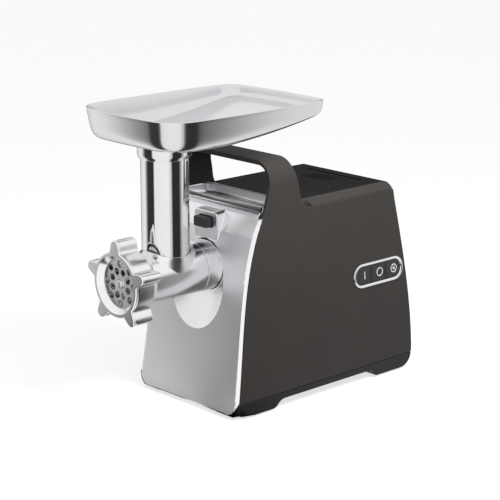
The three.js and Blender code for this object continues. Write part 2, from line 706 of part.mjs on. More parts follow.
// The upright feed tube stands on a saddle cut in the barrel's wall.
function feedTube() {
  const top = TUBE_TOP - AXIS_Z;
  const tube = cut(rodZ(TUBE_R, 5, top, 0, TUBE_Y, 28), rodZ(21, 0, top + 5, 0, TUBE_Y, 28));
  return cut(tube, rodY(24.4 + GAP, -WIDE, WIDE, 0, 0, 28));
}

// Round bore, five rounded grips with hollows between them.
function ringNut() {
  const LOBES = 5;
  const shape = new THREE.Shape();
  const steps = 75;
  for (let i = 0; i < steps; i++) {
    const angle = (i / steps) * Math.PI * 2;
    const phase = Math.cos((angle - Math.PI / 2) * LOBES);
    const share = Math.max(0, (phase - 0.25) / 0.75) ** 1.6;
    const radius = 33 + 12 * THREE.MathUtils.smoothstep(share, 0, 1);
    const point = [radius * Math.cos(angle), radius * Math.sin(angle)];
    if (i === 0) shape.moveTo(...point);
    else shape.lineTo(...point);
  }
  const rear = NUT_Y + NUT_LENGTH;
  const bore = [
    [0, NUT_Y - 1], [29, NUT_Y - 1], [24.6, PLATE_Y - 0.4], [24.6, PLATE_Y - GAP],
    [30.5, PLATE_Y - GAP], [30.5, rear + 1], [0, rear + 1],
  ];
  return cut(solid(extrudeY(shape, NUT_Y, rear)), turned(bore, 0, 0, 28));
}

function cuttingPlate() {
  const holes = [];
  for (let i = 0; i < 8; i++) {
    const outer = (i * Math.PI) / 4;
    const inner = outer + Math.PI / 8;
    holes.push([20 * Math.cos(outer), 20 * Math.sin(outer)]);
    holes.push([12.8 * Math.cos(inner), 12.8 * Math.sin(inner)]);
  }
  const drill = ([x, z]) => rodY(3.5, PLATE_Y - 1, PLATE_Y + 6, x, z, 9);
  const notch = solid(box([-PLATE_KEY - GAP, -200, 25], [PLATE_KEY + GAP, -100, 40]));
  return cut(
    rodY(PLATE_R, PLATE_Y, PLATE_Y + 5, 0, 0, 28),
    rodY(4.4, -200, -100, 0, 0, 14),
    notch,
    ...holes.map(drill),
  );
}

const BLADE_Y = SEAT_Y + 0.1;

function crossBlade() {
  const hub = rodY(8.5, BLADE_Y, BLADE_Y + 7, 0, 0, 16);
  const arms = [];
  for (let i = 0; i < 4; i++) {
    const arm = new THREE.Shape();
    arm.moveTo(-3, 0).lineTo(4, 0).lineTo(1.5, 22).lineTo(-3.5, 21);
    const geometry = extrudeY(arm, BLADE_Y, BLADE_Y + 3).rotateY((i * Math.PI) / 2);
    arms.push(solid(geometry));
  }
  const square = solid(box([-4.3, -200, -4.3], [4.3, -100, 4.3]));
  return cut(join(hub, ...arms), square);
}

// The flight is one fin on a round core, twisted along its length.
function feedScrew() {
  const from = -154;
  const to = -83;
  const shape = new THREE.Shape();
  const fin = 0.28; // half angle of the fin
  shape.absarc(0, 0, 9.5, fin * 1.6, Math.PI * 2 - fin * 1.6, false);
  shape.lineTo(22.3 * Math.cos(fin), -22.3 * Math.sin(fin));
  shape.lineTo(22.5, 0);
  shape.lineTo(22.3 * Math.cos(fin), 22.3 * Math.sin(fin));
  const geometry = extrudeY(shape, from, to, { steps: 30, curveSegments: 5 });
  const place = geometry.attributes.position;
  const turn = new THREE.Vector3();
  for (let i = 0; i < place.count; i++) {
    turn.fromBufferAttribute(place, i);
    turn.applyAxisAngle(Y, ((turn.y - from) / 25) * Math.PI * 2);
    place.setXYZ(i, turn.x, turn.y, turn.z);
  }
  const square = solid(box([-4, -162.5, -4], [4, from + 1, 4]));
  const tip = rodY(4, -171, -162, 0, 0, 16);
  const collar = rodY(10, from - 1, from + 1, 0, 0, 16);
  const flange = rodY(20.4, to - 1, -77, 0, 0, 28);
  return join(solid(geometry), square, tip, collar, flange);
}

// The plastic coupling is the weak link: a disc with a six-sided shank.
function screwCoupling() {
  const disc = rodY(16, -77 + GAP, -65, 0, 0, 20);
  const shank = rodY(8, -65.5, -53, 0, 0, 6);
  return join(disc, shank);
}

piece("head_barrel", CAST_ALUMINIUM, headBarrel(), head);
piece("feed_tube", MIRROR, feedTube(), head);
piece("ring_nut", CAST_ALUMINIUM, ringNut(), head);
piece("cutting_plate", STEEL, cuttingPlate(), head);
piece("cross_blade", STEEL, crossBlade(), head);
piece("feed_screw", CAST_ALUMINIUM, feedScrew(), head);
piece("screw_coupling", WHITE_NYLON, screwCoupling(), head);

// ---------------------------------------------------------------- tray
// The tray from above, round the middle of its length: bowed sides and round corners.
function trayPlan(halfX, halfY, inset) {
  const front = TRAY_CORNER_FRONT - inset;
  const rear = TRAY_CORNER_REAR - inset;
  const [x, y] = [halfX - TRAY_BOW, halfY - TRAY_BOW];
  const [bowX, bowY] = [halfX + TRAY_BOW, halfY + TRAY_BOW];
  const shape = new THREE.Shape();
  shape.moveTo(-x + front, -y).quadraticCurveTo(0, -bowY, x - front, -y);
  shape.absarc(x - front, -y + front, front, -Math.PI / 2, 0);
  shape.quadraticCurveTo(bowX, 0, x, y - rear);
  shape.absarc(x - rear, y - rear, rear, 0, Math.PI / 2);
  shape.quadraticCurveTo(0, bowY, -x + rear, y);
  shape.absarc(-x + rear, y - rear, rear, Math.PI / 2, Math.PI);
  shape.quadraticCurveTo(-bowX, 0, -x, -y + front);
  shape.absarc(-x + front, -y + front, front, Math.PI, Math.PI * 1.5);
  return shape;
}

// The tray's plan between two heights, its lower edge drawn in for walls with draft.
function drafted(inset, low, high, draw) {
  const middle = (TRAY_FRONT + TRAY_REAR) / 2;
  const halfX = TRAY_HALF_WIDTH - inset;
  const halfY = (TRAY_REAR - TRAY_FRONT) / 2 - inset;
  const shape = trayPlan(halfX, halfY, Math.max(inset, 0));
  const geometry = extrudeZ(shape, low, high, { curveSegments: 5 });
  const place = geometry.attributes.position;
  for (let i = 0; i < place.count; i++) {
    if (place.getZ(i) > (low + high) / 2) continue;
    place.setX(i, place.getX(i) * (1 - draw / halfX));
    place.setY(i, place.getY(i) * (1 - draw / halfY));
  }
  return solid(geometry.translate(0, middle, 0));
}

// What lies above the tray's floor, which is level round the tube and rises to the rear.
function aboveFloor(lift) {
  const floor = TRAY_FLOOR + lift;
  const shape = new THREE.Shape();
  shape.moveTo(-WIDE, WIDE * 2).lineTo(-WIDE, floor).lineTo(-82, floor);
  shape.quadraticCurveTo(-30, floor + 3.6, 12, floor + 12.6);
  shape.lineTo(WIDE, floor + 67.6).lineTo(WIDE, WIDE * 2);
  return solid(extrudeX(shape, -WIDE, WIDE));
}

// A dish with drafted walls and a chamfer of 45 degrees along the floor's edge.
function dish(inset, top) {
  const low = TRAY_FLOOR + inset;
  const deep = top - low;
  const chamfer = drafted(inset + TRAY_DRAFT + TRAY_EDGE - deep, low, top, deep);
  return common(drafted(inset, low, top, TRAY_DRAFT), chamfer, aboveFloor(inset));
}

function tray() {
  return cut(dish(0, RIM_Z), dish(TRAY_WALL, RIM_Z + 1), rodZ(21, 270, 300, 0, TUBE_Y, 28));
}

// The neck under the floor slips over the feed tube. It is turned about Y and then stood up.
function trayNeck() {
  const inner = TUBE_R + GAP;
  const top = TRAY_FLOOR - GAP;
  const corners = [[inner, 263], [25.6, 263], [27.1, 266.5], [27.1, top], [inner, top]];
  return turned(corners, 0, 0, 28).rotate([90, 0, 0]).translate([0, TUBE_Y, 0]);
}

piece("tray", MIRROR, tray());
piece("tray_neck", MIRROR, trayNeck());

// ---------------------------------------------------------------- gears
// A spur gear's outline with straight-sided teeth and room to run.
function gearShape(teeth, module, phase) {
  const pitch = (module * teeth) / 2;
  const tip = pitch + 0.8 * module;
  const root = pitch - 1.15 * module;
  const step = (Math.PI * 2) / teeth;
  const tipHalf = 0.1 * step;
  const rootHalf = 0.27 * step;
  const shape = new THREE.Shape();
  for (let i = 0; i < teeth; i++) {
    const middle = i * step + phase;
    const corners = [[root, -rootHalf], [tip, -tipHalf], [tip, tipHalf], [root, rootHalf]];
    for (const [radius, offset] of corners) {
      const point = [radius * Math.cos(middle + offset), radius * Math.sin(middle + offset)];
      if (i === 0 && offset === -rootHalf) shape.moveTo(...point);
      else shape.lineTo(...point);
    }
  }
  return shape;
}

// A wheel's tooth points at its pinion, and the pinion's gap points back.
function wheel(stage, at, pinionAt) {
  const phase = Math.atan2(pinionAt.z - at.z, pinionAt.x - at.x);
  const shape = gearShape(stage.wheel, stage.module, phase);
  return solid(extrudeY(shape, stage.y, stage.y + stage.width - 1).translate(at.x, 0, at.z));
}

function pinion(stage, at, wheelAt) {
  const phase = Math.atan2(wheelAt.z - at.z, wheelAt.x - at.x) + Math.PI / stage.pinion;
  const shape = gearShape(stage.pinion, stage.module, phase);
  return solid(extrudeY(shape, stage.y - 0.4, stage.y + stage.width).translate(at.x, 0, at.z));
}

function driveShaft() {
  const shaft = turned(
    [[0, -44], [8, -44], [8, -23], [10, -23], [10, -9.5], [5, -9.5], [5, 12], [0, 12]],
    OUTPUT.x, OUTPUT.z, 24,
  );
  const cup = rodY(14, -62, -42, OUTPUT.x, OUTPUT.z, 20);
  const socket = rodY(8.5, -63, -51, OUTPUT.x, OUTPUT.z, 6);
  return cut(join(shaft, cup), socket);
}

function outputGear() {
  const { y, width } = STAGES.output;
  const hub = rodY(10 + GAP, y - 1, y + width, OUTPUT.x, OUTPUT.z, 16);
  return cut(wheel(STAGES.output, OUTPUT, IDLER_2), hub);
}

// An idler is a wheel and a pinion in one moulding, with a bore for its pin.
function idler(lower, upper, at, drivenBy, drives) {
  const big = wheel(lower, at, drivenBy);
  const small = pinion(upper, at, drives);
  const hub = rodY(5.2, upper.y, lower.y + lower.width - 1, at.x, at.z, 14);
  return cut(join(big, small, hub), rodY(3.1, -40, 30, at.x, at.z, 14));
}

piece("drive_shaft", STEEL, driveShaft());
piece("output_gear", STEEL, outputGear());
piece("idler_gear_2", WHITE_NYLON, idler(STAGES.middle, STAGES.output, IDLER_2, IDLER_1, OUTPUT));
piece("idler_gear_1", WHITE_NYLON, idler(STAGES.motor, STAGES.middle, IDLER_1, MOTOR, IDLER_2));
piece("idler_pin_2", STEEL, rodY(3, -25, 11, IDLER_2.x, IDLER_2.z, 14));
piece("idler_pin_1", STEEL, rodY(3, -25, 11, IDLER_1.x, IDLER_1.z, 14));

// ---------------------------------------------------------------- gearbox
const BOX_WALL = rectangle(-44, 50, 54, 182, 24);
const BOX_ROOM = rectangle(-41, 53, 51, 179, 21);

function gearboxHousing() {
  return cut(
    join(
      solid(extrudeY(BOX_WALL, -29.7, 9)),
      rodY(15, -38, -28, OUTPUT.x, OUTPUT.z, 20),
      solid(box([-12, -29.7, 178], [12, -26, 197])),
    ),
    solid(extrudeY(BOX_ROOM, -26, 20)),
    rodY(11.3, -60, 0, OUTPUT.x, OUTPUT.z, 20),
    rodY(3 + GAP, -27.5, 0, IDLER_2.x, IDLER_2.z, 14),
    rodY(3 + GAP, -27.5, 0, IDLER_1.x, IDLER_1.z, 14),
  );
}

function gearboxCover() {
  return cut(
    solid(extrudeY(BOX_WALL, 9.3, 13)),
    rodY(5.5, 0, 11.7, OUTPUT.x, OUTPUT.z, 16),
    rodY(5.5, 11, 14, OUTPUT.x, OUTPUT.z, 16),
    rodY(3 + GAP, 0, 11.6, IDLER_2.x, IDLER_2.z, 14),
    rodY(3 + GAP, 0, 11.6, IDLER_1.x, IDLER_1.z, 14),
    rodY(8 + GAP, 0, 20, MOTOR.x, MOTOR.z, 16),
  );
}

piece("gearbox_housing", CAST_ALUMINIUM, gearboxHousing());
piece("gearbox_cover", CAST_ALUMINIUM, gearboxCover());
piece("output_bush", BRASS, ringY(8 + GAP, 11, -37.5, -24, OUTPUT.x, OUTPUT.z, 16));

// ---------------------------------------------------------------- motor
const motor = new THREE.Group();
motor.position.set(MOTOR.x, 0, MOTOR.z);
part.add(motor);

// The motor's pinion is cut on the end of its shaft.
function rotorShaft() {
  const teeth = pinion(STAGES.motor, MOTOR, IDLER_1).translate([-MOTOR.x, 0, -MOTOR.z]);
  const shaft = turned([[0, 0], [2.5, 0], [2.5, 9], [4, 9], [4, 100], [0, 100]], 0, 0, 14);
  return join(teeth, shaft);
}

function stator() {
  const outside = rectangle(-34, -34, 34, 34, 14);
  const bore = rodY(23, 0, 100, 0, 0, 20);
  const windowUp = rectangle(-20, 15, 20, 27, 3);
  const windowDown = rectangle(-20, -27, 20, -15, 3);
  return cut(
    solid(extrudeY(outside, 30, 70)),
    bore,
    solid(extrudeY(windowUp, 20, 80)),
    solid(extrudeY(windowDown, 20, 80)),
  );
}

// A field coil lies in one window of the stator.
function fieldCoil(side) {
  const [low, high] = side > 0 ? [23.4, 26.6] : [-26.6, -23.4];
  return solid(extrudeY(rectangle(-18, low, 18, high, 1), 26, 74));
}

function fan() {
  const hub = ringY(4 + GAP, 9, 16, 24, 0, 0, 14);
  const disc = ringY(8, 31, 16, 17.5, 0, 0, 20);
  const blades = [];
  for (let i = 0; i < 9; i++) {
    const angle = (i / 9) * Math.PI * 2;
    const blade = box([-0.7, 16.5, 8], [0.7, 24, 30]).rotateY(angle);
    blades.push(solid(blade));
  }
  return join(hub, disc, ...blades);
}

function motorBracket() {
  const plate = solid(extrudeY(rectangle(-34, -34, 34, 34, 14), 96, 100));
  const foot = solid(box([-30, 96, -46], [30, 104, -30]));
  return cut(join(plate, foot), rodY(8 + GAP, 90, 110, 0, 0, 16));
}

// A carbon brush rides on the commutator.
function brush(side) {
  const [low, high] = side > 0 ? [12.4, 28] : [-28, -12.4];
  return solid(box([low, 83.3, -2.3], [high, 90.7, 2.3]));
}

piece("rotor_shaft", STEEL, rotorShaft(), motor);
piece("rotor_core", LAMINATION, ringY(4 + GAP, 22, 30, 70, 0, 0, 28), motor);
piece("commutator", COPPER, ringY(4 + GAP, 12, 78, 94, 0, 0, 16), motor);
piece("cooling_fan", GREY_NYLON, fan(), motor);
piece("motor_stator", LAMINATION, stator(), motor);
piece("upper_coil", COPPER, fieldCoil(1), motor);
piece("lower_coil", COPPER, fieldCoil(-1), motor);
piece("front_bearing", BRASS, ringY(4.1, 8, 9.4, 13, 0, 0, 16), motor);
piece("rear_bearing", BRASS, ringY(4.1, 8, 95.9, 100, 0, 0, 16), motor);
piece("motor_bracket", CAST_ALUMINIUM, motorBracket(), motor);
piece("left_brush", CARBON, brush(-1), motor);
piece("right_brush", CARBON, brush(1), motor);

export default part;
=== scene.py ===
"""The looks of an electric meat grinder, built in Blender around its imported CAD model.

Outlines are in millimetres in the row frame: +Z up, the head points along -Y, buttons on +X.
"""

import json
from math import atan, atan2, cos, pi, radians, sin, sqrt

import bmesh
import bpy
from mathutils import Matrix, Vector


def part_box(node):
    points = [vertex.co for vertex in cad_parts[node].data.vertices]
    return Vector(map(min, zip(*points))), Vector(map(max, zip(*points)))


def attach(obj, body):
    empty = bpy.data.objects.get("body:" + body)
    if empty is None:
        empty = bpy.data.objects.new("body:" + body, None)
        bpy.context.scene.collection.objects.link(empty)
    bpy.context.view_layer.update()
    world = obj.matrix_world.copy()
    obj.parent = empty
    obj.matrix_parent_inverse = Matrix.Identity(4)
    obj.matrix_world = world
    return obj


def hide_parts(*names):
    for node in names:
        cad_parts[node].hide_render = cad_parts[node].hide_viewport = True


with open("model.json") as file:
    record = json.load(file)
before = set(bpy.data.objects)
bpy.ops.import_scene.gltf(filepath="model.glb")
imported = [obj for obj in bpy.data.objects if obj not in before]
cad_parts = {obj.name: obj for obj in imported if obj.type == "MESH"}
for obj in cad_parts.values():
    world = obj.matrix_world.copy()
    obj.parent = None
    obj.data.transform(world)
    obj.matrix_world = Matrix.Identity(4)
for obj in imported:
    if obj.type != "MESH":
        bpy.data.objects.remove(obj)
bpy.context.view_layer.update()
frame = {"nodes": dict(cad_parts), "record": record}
scene = bpy.context.scene
MM = 0.001


def span(node):
    """Lowest and highest corner of a CAD node, in millimetres."""
    low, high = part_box(node)
    return low / MM, high / MM


def middle(node):
    """The middle of a CAD node's box, in millimetres."""
    return tuple((a + b) / 2 for a, b in zip(*span(node)))


# -------------------- sizes, from the frame
HALF_WIDTH = 78  # half the housing's width at the table
LEAN = 0.045  # both sides move in by this much per millimetre of height
SHELL = 3  # wall of the side shells
LEG = 5  # thickness of the handle
LEG_REAR = 25  # Y where the handle's legs run out on the deck
PROUD = 3  # the front panel stands this far in front of the side shells
CHAMFER = 4.5  # width of the bright chamfer round the front panel
PANEL_CORNER = 16  # radius of the panel's lower corners
CORNER_REACH = 22  # their curve starts this far from the sharp corner
GAP = 0.3
FAR = 300  # past every side of the machine, for cutters

base_low, base_high = span("base_pan")
panel_low, panel_high = span("front_panel")
cover_low, cover_high = span("top_cover")
lid_low, lid_high = span("storage_lid")
barrel_low = span("head_barrel")[0]
collar_low, collar_high = span("locking_collar")
tube_high = span("feed_tube")[1]
plate_low, plate_high = span("cutting_plate")
nut_low, nut_high = span("ring_nut")
tray_low, tray_high = span("tray")
neck_low, neck_high = span("tray_neck")
button_low, button_high = span("release_button")

SEAM_Z = span("right_side_shell")[1].z  # seam between the side shells and the handle bar
HANDLE_Z = span("handle_bar")[1].z
SHELF_Z = panel_high.z - 10  # rear of the shelf between the handle's legs
SHELF_EDGE_Z = SHELF_Z + 5  # its front edge
SHELF_FRONT, SHELF_BACK = -38, -2  # Y between which the shelf slopes down
TOP_Z = cover_high.z
DECK_Z = TOP_Z - 8  # top edge of the side shells behind the handle
AXIS_Z = middle("locking_collar")[2]
AXIS = (0, AXIS_Z)  # the grinding head's axis, along Y
TUBE_Y = middle("feed_tube")[1]
BUTTON_LOW_Z = button_high.z - 10.5  # the release button, above its latch arm
POCKET_Y = -57  # floor of the pocket that the head enters
POCKET_WALL = 2.5
FRONT_TOP = 204  # Z where the curve of the side shells' front edge ends


# -------------------- outlines
def bezier(controls, steps):
    """Points of a Bezier curve of any degree, both ends included."""
    made = []
    for step in range(steps + 1):
        t = step / steps
        row = [Vector(c) for c in controls]
        while len(row) > 1:
            row = [a.lerp(b, t) for a, b in zip(row, row[1:])]
        made.append(tuple(row[0]))
    return made


def arc(x, y, radius, start, end, steps):
    """Points of an arc, from one angle in degrees to another."""
    turns = [radians(start + (end - start) * i / steps) for i in range(steps + 1)]
    return [(x + radius * cos(a), y + radius * sin(a)) for a in turns]


def circle(x, y, radius, steps=96):
    return arc(x, y, radius, 0, 360, steps)[:-1]


def rounded(corners, radius=0.5, steps=4):
    """A closed outline with its corners rounded. A corner's third number is its own radius."""
    made = []
    for i, corner in enumerate(corners):
        here = Vector(corner[:2])
        back = Vector(corners[i - 1][:2]) - here
        on = Vector(corners[(i + 1) % len(corners)][:2]) - here
        reach = corner[2] if len(corner) > 2 else radius
        reach = min(reach, back.length * 0.49, on.length * 0.49)
        if reach <= 0:
            made.append(tuple(here))
            continue
        start, end = here + back.normalized() * reach, here + on.normalized() * reach
        made += bezier([start, here, end], steps)
    return made


def rectangle(x0, y0, x1, y1, radius=0):
    return rounded([(x0, y0), (x1, y0), (x1, y1), (x0, y1)], radius, 8)


def tablet(half, low, high, low_radius, high_radius, steps):
    """A rectangle about the middle, with one radius at its low end and one at its high end."""
    return rounded([(-half, low, low_radius), (half, low, low_radius),
                    (half, high, high_radius), (-half, high, high_radius)], steps=steps)


def mirrored(half):
    """An outline from its right half."""
    return half + [(-x, y) for x, y in reversed(half)]


def front_curve(dy=0, top=FRONT_TOP):
    """The housing's front edge from low to high: a shallow S that leans back, in (Y, Z)."""
    end = (-40.5 + dy - (FRONT_TOP - top) * 0.42, top)
    return bezier([(-83 + dy, 4), (-71 + dy, 71), (-72.5 + dy, 138), end], 40)


FRONT = front_curve()


def front_y(z):
    """Y of the side shells' front edge at a height."""
    for (y0, z0), (y1, z1) in zip(FRONT, FRONT[1:]):
        if z <= z1:
            return y0 + (y1 - y0) * (z - z0) / (z1 - z0)
    return FRONT[-1][0]


# -------------------- solids
def solid(points, faces):
    """A mesh object from points in millimetres, with its doubles merged and normals outward."""
    mesh = bpy.data.meshes.new("solid")
    mesh.from_pydata([Vector(p) * MM for p in points], [], faces)
    work = bmesh.new()
    work.from_mesh(mesh)
    bmesh.ops.remove_doubles(work, verts=work.verts, dist=1e-7)
    bmesh.ops.recalc_face_normals(work, faces=work.faces)
    work.to_mesh(mesh)
    work.free()
    made = bpy.data.objects.new("solid", mesh)
    scene.collection.objects.link(made)
    return made


def loft(loops, ring=False):
    """A skin over loops of equal length. A ring joins the last loop to the first."""
    count = len(loops[0])
    points = [p for loop in loops for p in loop]
    faces = []
    for i in range(len(loops) if ring else len(loops) - 1):
        a, b = i * count, (i + 1) % len(loops) * count
        for j in range(count):
            k = (j + 1) % count
            faces.append((a + j, a + k, b + k, b + j))
    if not ring:
        faces.append(tuple(range(count)))
        faces.append(tuple(range(len(points) - count, len(points))))
    return solid(points, faces)


def placed(axis, pair, along):
    """A point from its two coordinates across an axis, in XYZ order, and the one along it."""
    place = list(pair)
    place.insert("XYZ".index(axis), along)
    return tuple(place)


def stack(axis, layers):
    """A skin over outlines along an axis, each given with its place on it."""
    return loft([[placed(axis, p, along) for p in outline] for outline, along in layers])


def prism(outline, axis, low, high):
    return stack(axis, [(outline, low), (outline, high)])


def lathe(profile, axis, centre=AXIS, segments=96):
    """A turned solid from a closed outline of (radius, distance along the axis)."""
    loops = []
    for radius, along in profile:
        loops.append([placed(axis, p, along) for p in circle(*centre, radius, segments)])
    return loft(loops, ring=True)


def rod(axis, radius, low, high, centre=AXIS, segments=64):
    return prism(circle(*centre, radius, segments), axis, low, high)


def block(corner, opposite):
    """A box between two opposite corners."""
    (x0, x1), (y0, y1), (z0, z1) = (sorted(pair) for pair in zip(corner, opposite))
    return prism(rectangle(x0, y0, x1, y1), "Z", z0, z1)


def slab(low, high):
    return block((-FAR, -FAR, low), (FAR, FAR, high))


def side(sign):
    """All that lies on one side of the middle: 1 is the right, -1 the left."""
    return block((0, -FAR, -50), (sign * FAR, FAR, 400))


def copy(made):
    twin = made.copy()
    twin.data = made.data.copy()
    scene.collection.objects.link(twin)
    return twin


def bake(made):
    """Applies the modifiers of a piece to its mesh."""
    shape = made.evaluated_get(bpy.context.evaluated_depsgraph_get())
    mesh = bpy.data.meshes.new_from_object(shape)
    made.modifiers.clear()
    made.data = mesh
    return made


def combine(operation, made, tools):
    for tool in tools:
        step = made.modifiers.new("combine", "BOOLEAN")
        step.operation = operation
        step.object = tool
        step.solver = "EXACT"
    bake(made)
    for tool in tools:
        bpy.data.objects.remove(tool)
    return made


def cut(made, *tools):
    return combine("DIFFERENCE", made, tools)


def join(made, *tools):
    return combine("UNION", made, tools)


def common(made, *tools):
    return combine("INTERSECT", made, tools)


def lean(made):
    """Moves the sides in with height."""
    for vertex in made.data.vertices:
        vertex.co.x *= 1 - LEAN * vertex.co.z / (HALF_WIDTH * MM)
    return made


def soften(made, width, angle=30, segments=3, material=-1):
    """Rounds the edges that are sharper than an angle. The rounds can have their own material."""
    step = made.modifiers.new("soften", "BEVEL")
    step.material = material
    step.width = width * MM
    step.segments = segments
    step.limit_method = "ANGLE"
    step.angle_limit = radians(angle)
    step.use_clamp_overlap = False
    return bake(made)


def tidy(made):
    """Merges what booleans left behind along edges."""
    work = bmesh.new()
    work.from_mesh(made.data)
    bmesh.ops.remove_doubles(work, verts=work.verts, dist=2e-6)
    bmesh.ops.dissolve_degenerate(work, edges=work.edges, dist=2e-6)
    work.to_mesh(made.data)
    work.free()
    return made


def ease(made, width, **how):
    """Softens a piece, with what booleans left merged before and after."""
    return tidy(soften(tidy(made), width, **how))


def finish(made, name, body, looks, *nodes, sharp=38):
    """Names a piece, shades it, gives it its look (or several) and puts it on its CAD body.

    nodes are the CAD nodes that it stands in for.
    """
    made.name = name
    made.data.name = name
    made.data.shade_smooth()
    made.data.set_sharp_from_angle(angle=radians(sharp))
    step = made.modifiers.new("even shading", "WEIGHTED_NORMAL")
    step.keep_sharp = True
    step.weight = 80
    indices = [face.material_index for face in made.data.polygons]
    made.data.materials.clear()
    looks = looks if isinstance(looks, tuple) else (looks,)
    for material in looks:
        made.data.materials.append(material)
    for face, index in zip(made.data.polygons, indices):
        face.material_index = min(index, len(looks) - 1)
    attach(made, body)
    if nodes:
        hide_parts(*nodes)


# -------------------- materials
def add(tree, kind, inputs=None, **settings):
    """A shader node. Its inputs are given as values or as other nodes' outputs."""
    made = tree.nodes.new("ShaderNode" + kind)
    for name, value in settings.items():
        setattr(made, name, value)
    for name, value in (inputs or {}).items():
        if isinstance(value, bpy.types.NodeSocket):
            tree.links.new(value, made.inputs[name])
        else:
            made.inputs[name].default_value = value
    return made


def ranged(tree, value, start, end, low=0.0, high=1.0):
    """A number that goes from low to high while the value goes from start to end."""
    return add(tree, "MapRange", {"Value": value, "From Min": start, "From Max": end,
                                  "To Min": low, "To Max": high}).outputs[0]


def mix(tree, factor, first, second):
    """A blend of two colours, each a value or another node's output."""
    made = add(tree, "Mix", {0: factor}, data_type="RGBA")
    ends = [entry for entry in made.inputs if entry.type == "RGBA"]
    for entry, value in zip(ends, (first, second)):
        if isinstance(value, bpy.types.NodeSocket):
            tree.links.new(value, entry)
        else:
            entry.default_value = value
    return next(out for out in made.outputs if out.type == "RGBA")


def linear(rgb):
    """Linear light from sRGB numbers between 11 and 255."""
    return [((c / 255 + 0.055) / 1.055) ** 2.4 for c in rgb]


def look(name, color, rough, grain, metallic=0.0, vary=0.06, stretch=(1, 1, 1),
         wear=0.0, rings=False, **sockets):
    """A procedural material: colour and roughness that wander, a fine grain and worn edges.

    rough is the lowest and highest roughness. grain is (size, depth) in millimetres.
    stretch draws the grain out along the axes where it is small. rings makes it run
    round the grinding head's axis.
    """
    made = bpy.data.materials.new(name)
    made.use_nodes = True
    tree = made.node_tree
    shader = tree.nodes["Principled BSDF"]
    shader.inputs["Metallic"].default_value = metallic
    for entry, value in sockets.items():
        shader.inputs[entry.replace("_", " ")].default_value = value
    place = add(tree, "TexCoord").outputs["Object"]
    if rings:
        flat = add(tree, "VectorMath", {0: place, 1: (1, 0, 1)}, operation="MULTIPLY")
        spoke = add(tree, "VectorMath", {0: flat.outputs[0], 1: (0, 0, AXIS_Z * MM)},
                    operation="SUBTRACT")
        radius = add(tree, "VectorMath", {0: spoke.outputs[0]}, operation="LENGTH")
        fine_place = add(tree, "CombineXYZ", {"X": radius.outputs["Value"]}).outputs[0]
    else:
        fine_place = add(tree, "Mapping", {"Vector": place, "Scale": stretch}).outputs[0]
    broad = add(tree, "TexNoise", {"Vector": place, "Scale": 14.0, "Detail": 3.0})
    size, depth = grain
    fine = add(tree, "TexNoise", {"Vector": fine_place, "Scale": 1 / (size * MM), "Detail": 4.0})

    plain = linear(color)
    both = add(tree, "Math", {0: broad.outputs["Fac"], 1: fine.outputs["Fac"]},
               operation="ADD").outputs[0]
    low = (*[c * (1 - vary) for c in plain], 1)
    high = (*[min(1.0, c * (1 + vary)) for c in plain], 1)
    tone = mix(tree, ranged(tree, both, 0.7, 1.3), low, high)
    bump = add(tree, "Bump", {"Height": fine.outputs["Fac"], "Distance": depth * MM,
                              "Strength": 1.0})
    if wear:
        edge = add(tree, "Bevel", {"Radius": 0.0009}, samples=4)
        normal = add(tree, "NewGeometry").outputs["Normal"]
        turn = add(tree, "VectorMath", {0: edge.outputs[0], 1: normal}, operation="DOT_PRODUCT")
        worn = ranged(tree, turn.outputs["Value"], 0.995, 0.9, high=wear)
        pale = (*[min(1.0, c * 2.2 + 0.02) for c in plain], 1)
        tone = mix(tree, worn, tone, pale)
    tree.links.new(tone, shader.inputs["Base Color"])
    tree.links.new(ranged(tree, both, 0.6, 1.4, *rough), shader.inputs["Roughness"])
    tree.links.new(bump.outputs[0], shader.inputs["Normal"])
    return made


CHARCOAL = look("charcoal plastic", (64, 61, 59), (0.42, 0.52), grain=(0.5, 0.012), wear=0.25,
                Specular_IOR_Level=0.13)
BASE_BLACK = look("base plastic", (38, 37, 37), (0.45, 0.6), grain=(0.7, 0.02), wear=0.2,
                  Specular_IOR_Level=0.3)
GLOSS_BLACK = look("gloss black plastic", (20, 18, 20), (0.16, 0.24), grain=(1.5, 0.002),
                   wear=0.3, IOR=1.1)
SATIN = look("satin silver", (216, 216, 219), (0.36, 0.42), metallic=1.0, grain=(0.25, 0.004),
             stretch=(0.05, 1, 1), vary=0.03)
POLISHED_EDGE = look("polished edge", (250, 250, 251), (0.2, 0.26), metallic=1.0,
                     grain=(0.3, 0.002), stretch=(1, 1, 0.05), vary=0.02)
CAST = look("polished cast aluminium", (247, 247, 248), (0.16, 0.23), metallic=1.0,
            grain=(1.2, 0.004), vary=0.03)
POCKET_METAL = look("polished pocket", (240, 240, 242), (0.24, 0.3), metallic=1.0,
                    grain=(0.3, 0.003), vary=0.02)
MIRROR = look("mirror polish", (235, 235, 237), (0.05, 0.09), metallic=1.0,
              grain=(2.5, 0.001), vary=0.02)
TRAY_METAL = look("tray aluminium", (226, 226, 228), (0.13, 0.18), metallic=1.0,
                  grain=(0.4, 0.002), stretch=(1, 0.08, 1), vary=0.03)
CHROME = look("chrome", (236, 236, 238), (0.06, 0.12), metallic=1.0, grain=(2, 0.001), vary=0.02)
STEEL = look("ground steel", (241, 242, 243), (0.24, 0.32), metallic=1.0, grain=(0.3, 0.004),
             rings=True, vary=0.05)
RUBBER = look("rubber", (30, 30, 30), (0.75, 0.9), grain=(0.4, 0.03))
KEY = look("key plastic", (42, 40, 44), (0.3, 0.42), grain=(0.5, 0.006), wear=0.3,
           Specular_IOR_Level=0.4)
INK = look("white print", (232, 232, 230), (0.4, 0.5), grain=(0.3, 0.004))
WHITE_NYLON = look("white nylon", (226, 224, 216), (0.4, 0.55), grain=(0.8, 0.01),
                   Subsurface_Weight=0.1)
GREY_NYLON = look("grey nylon", (112, 114, 118), (0.45, 0.6), grain=(0.5, 0.015))
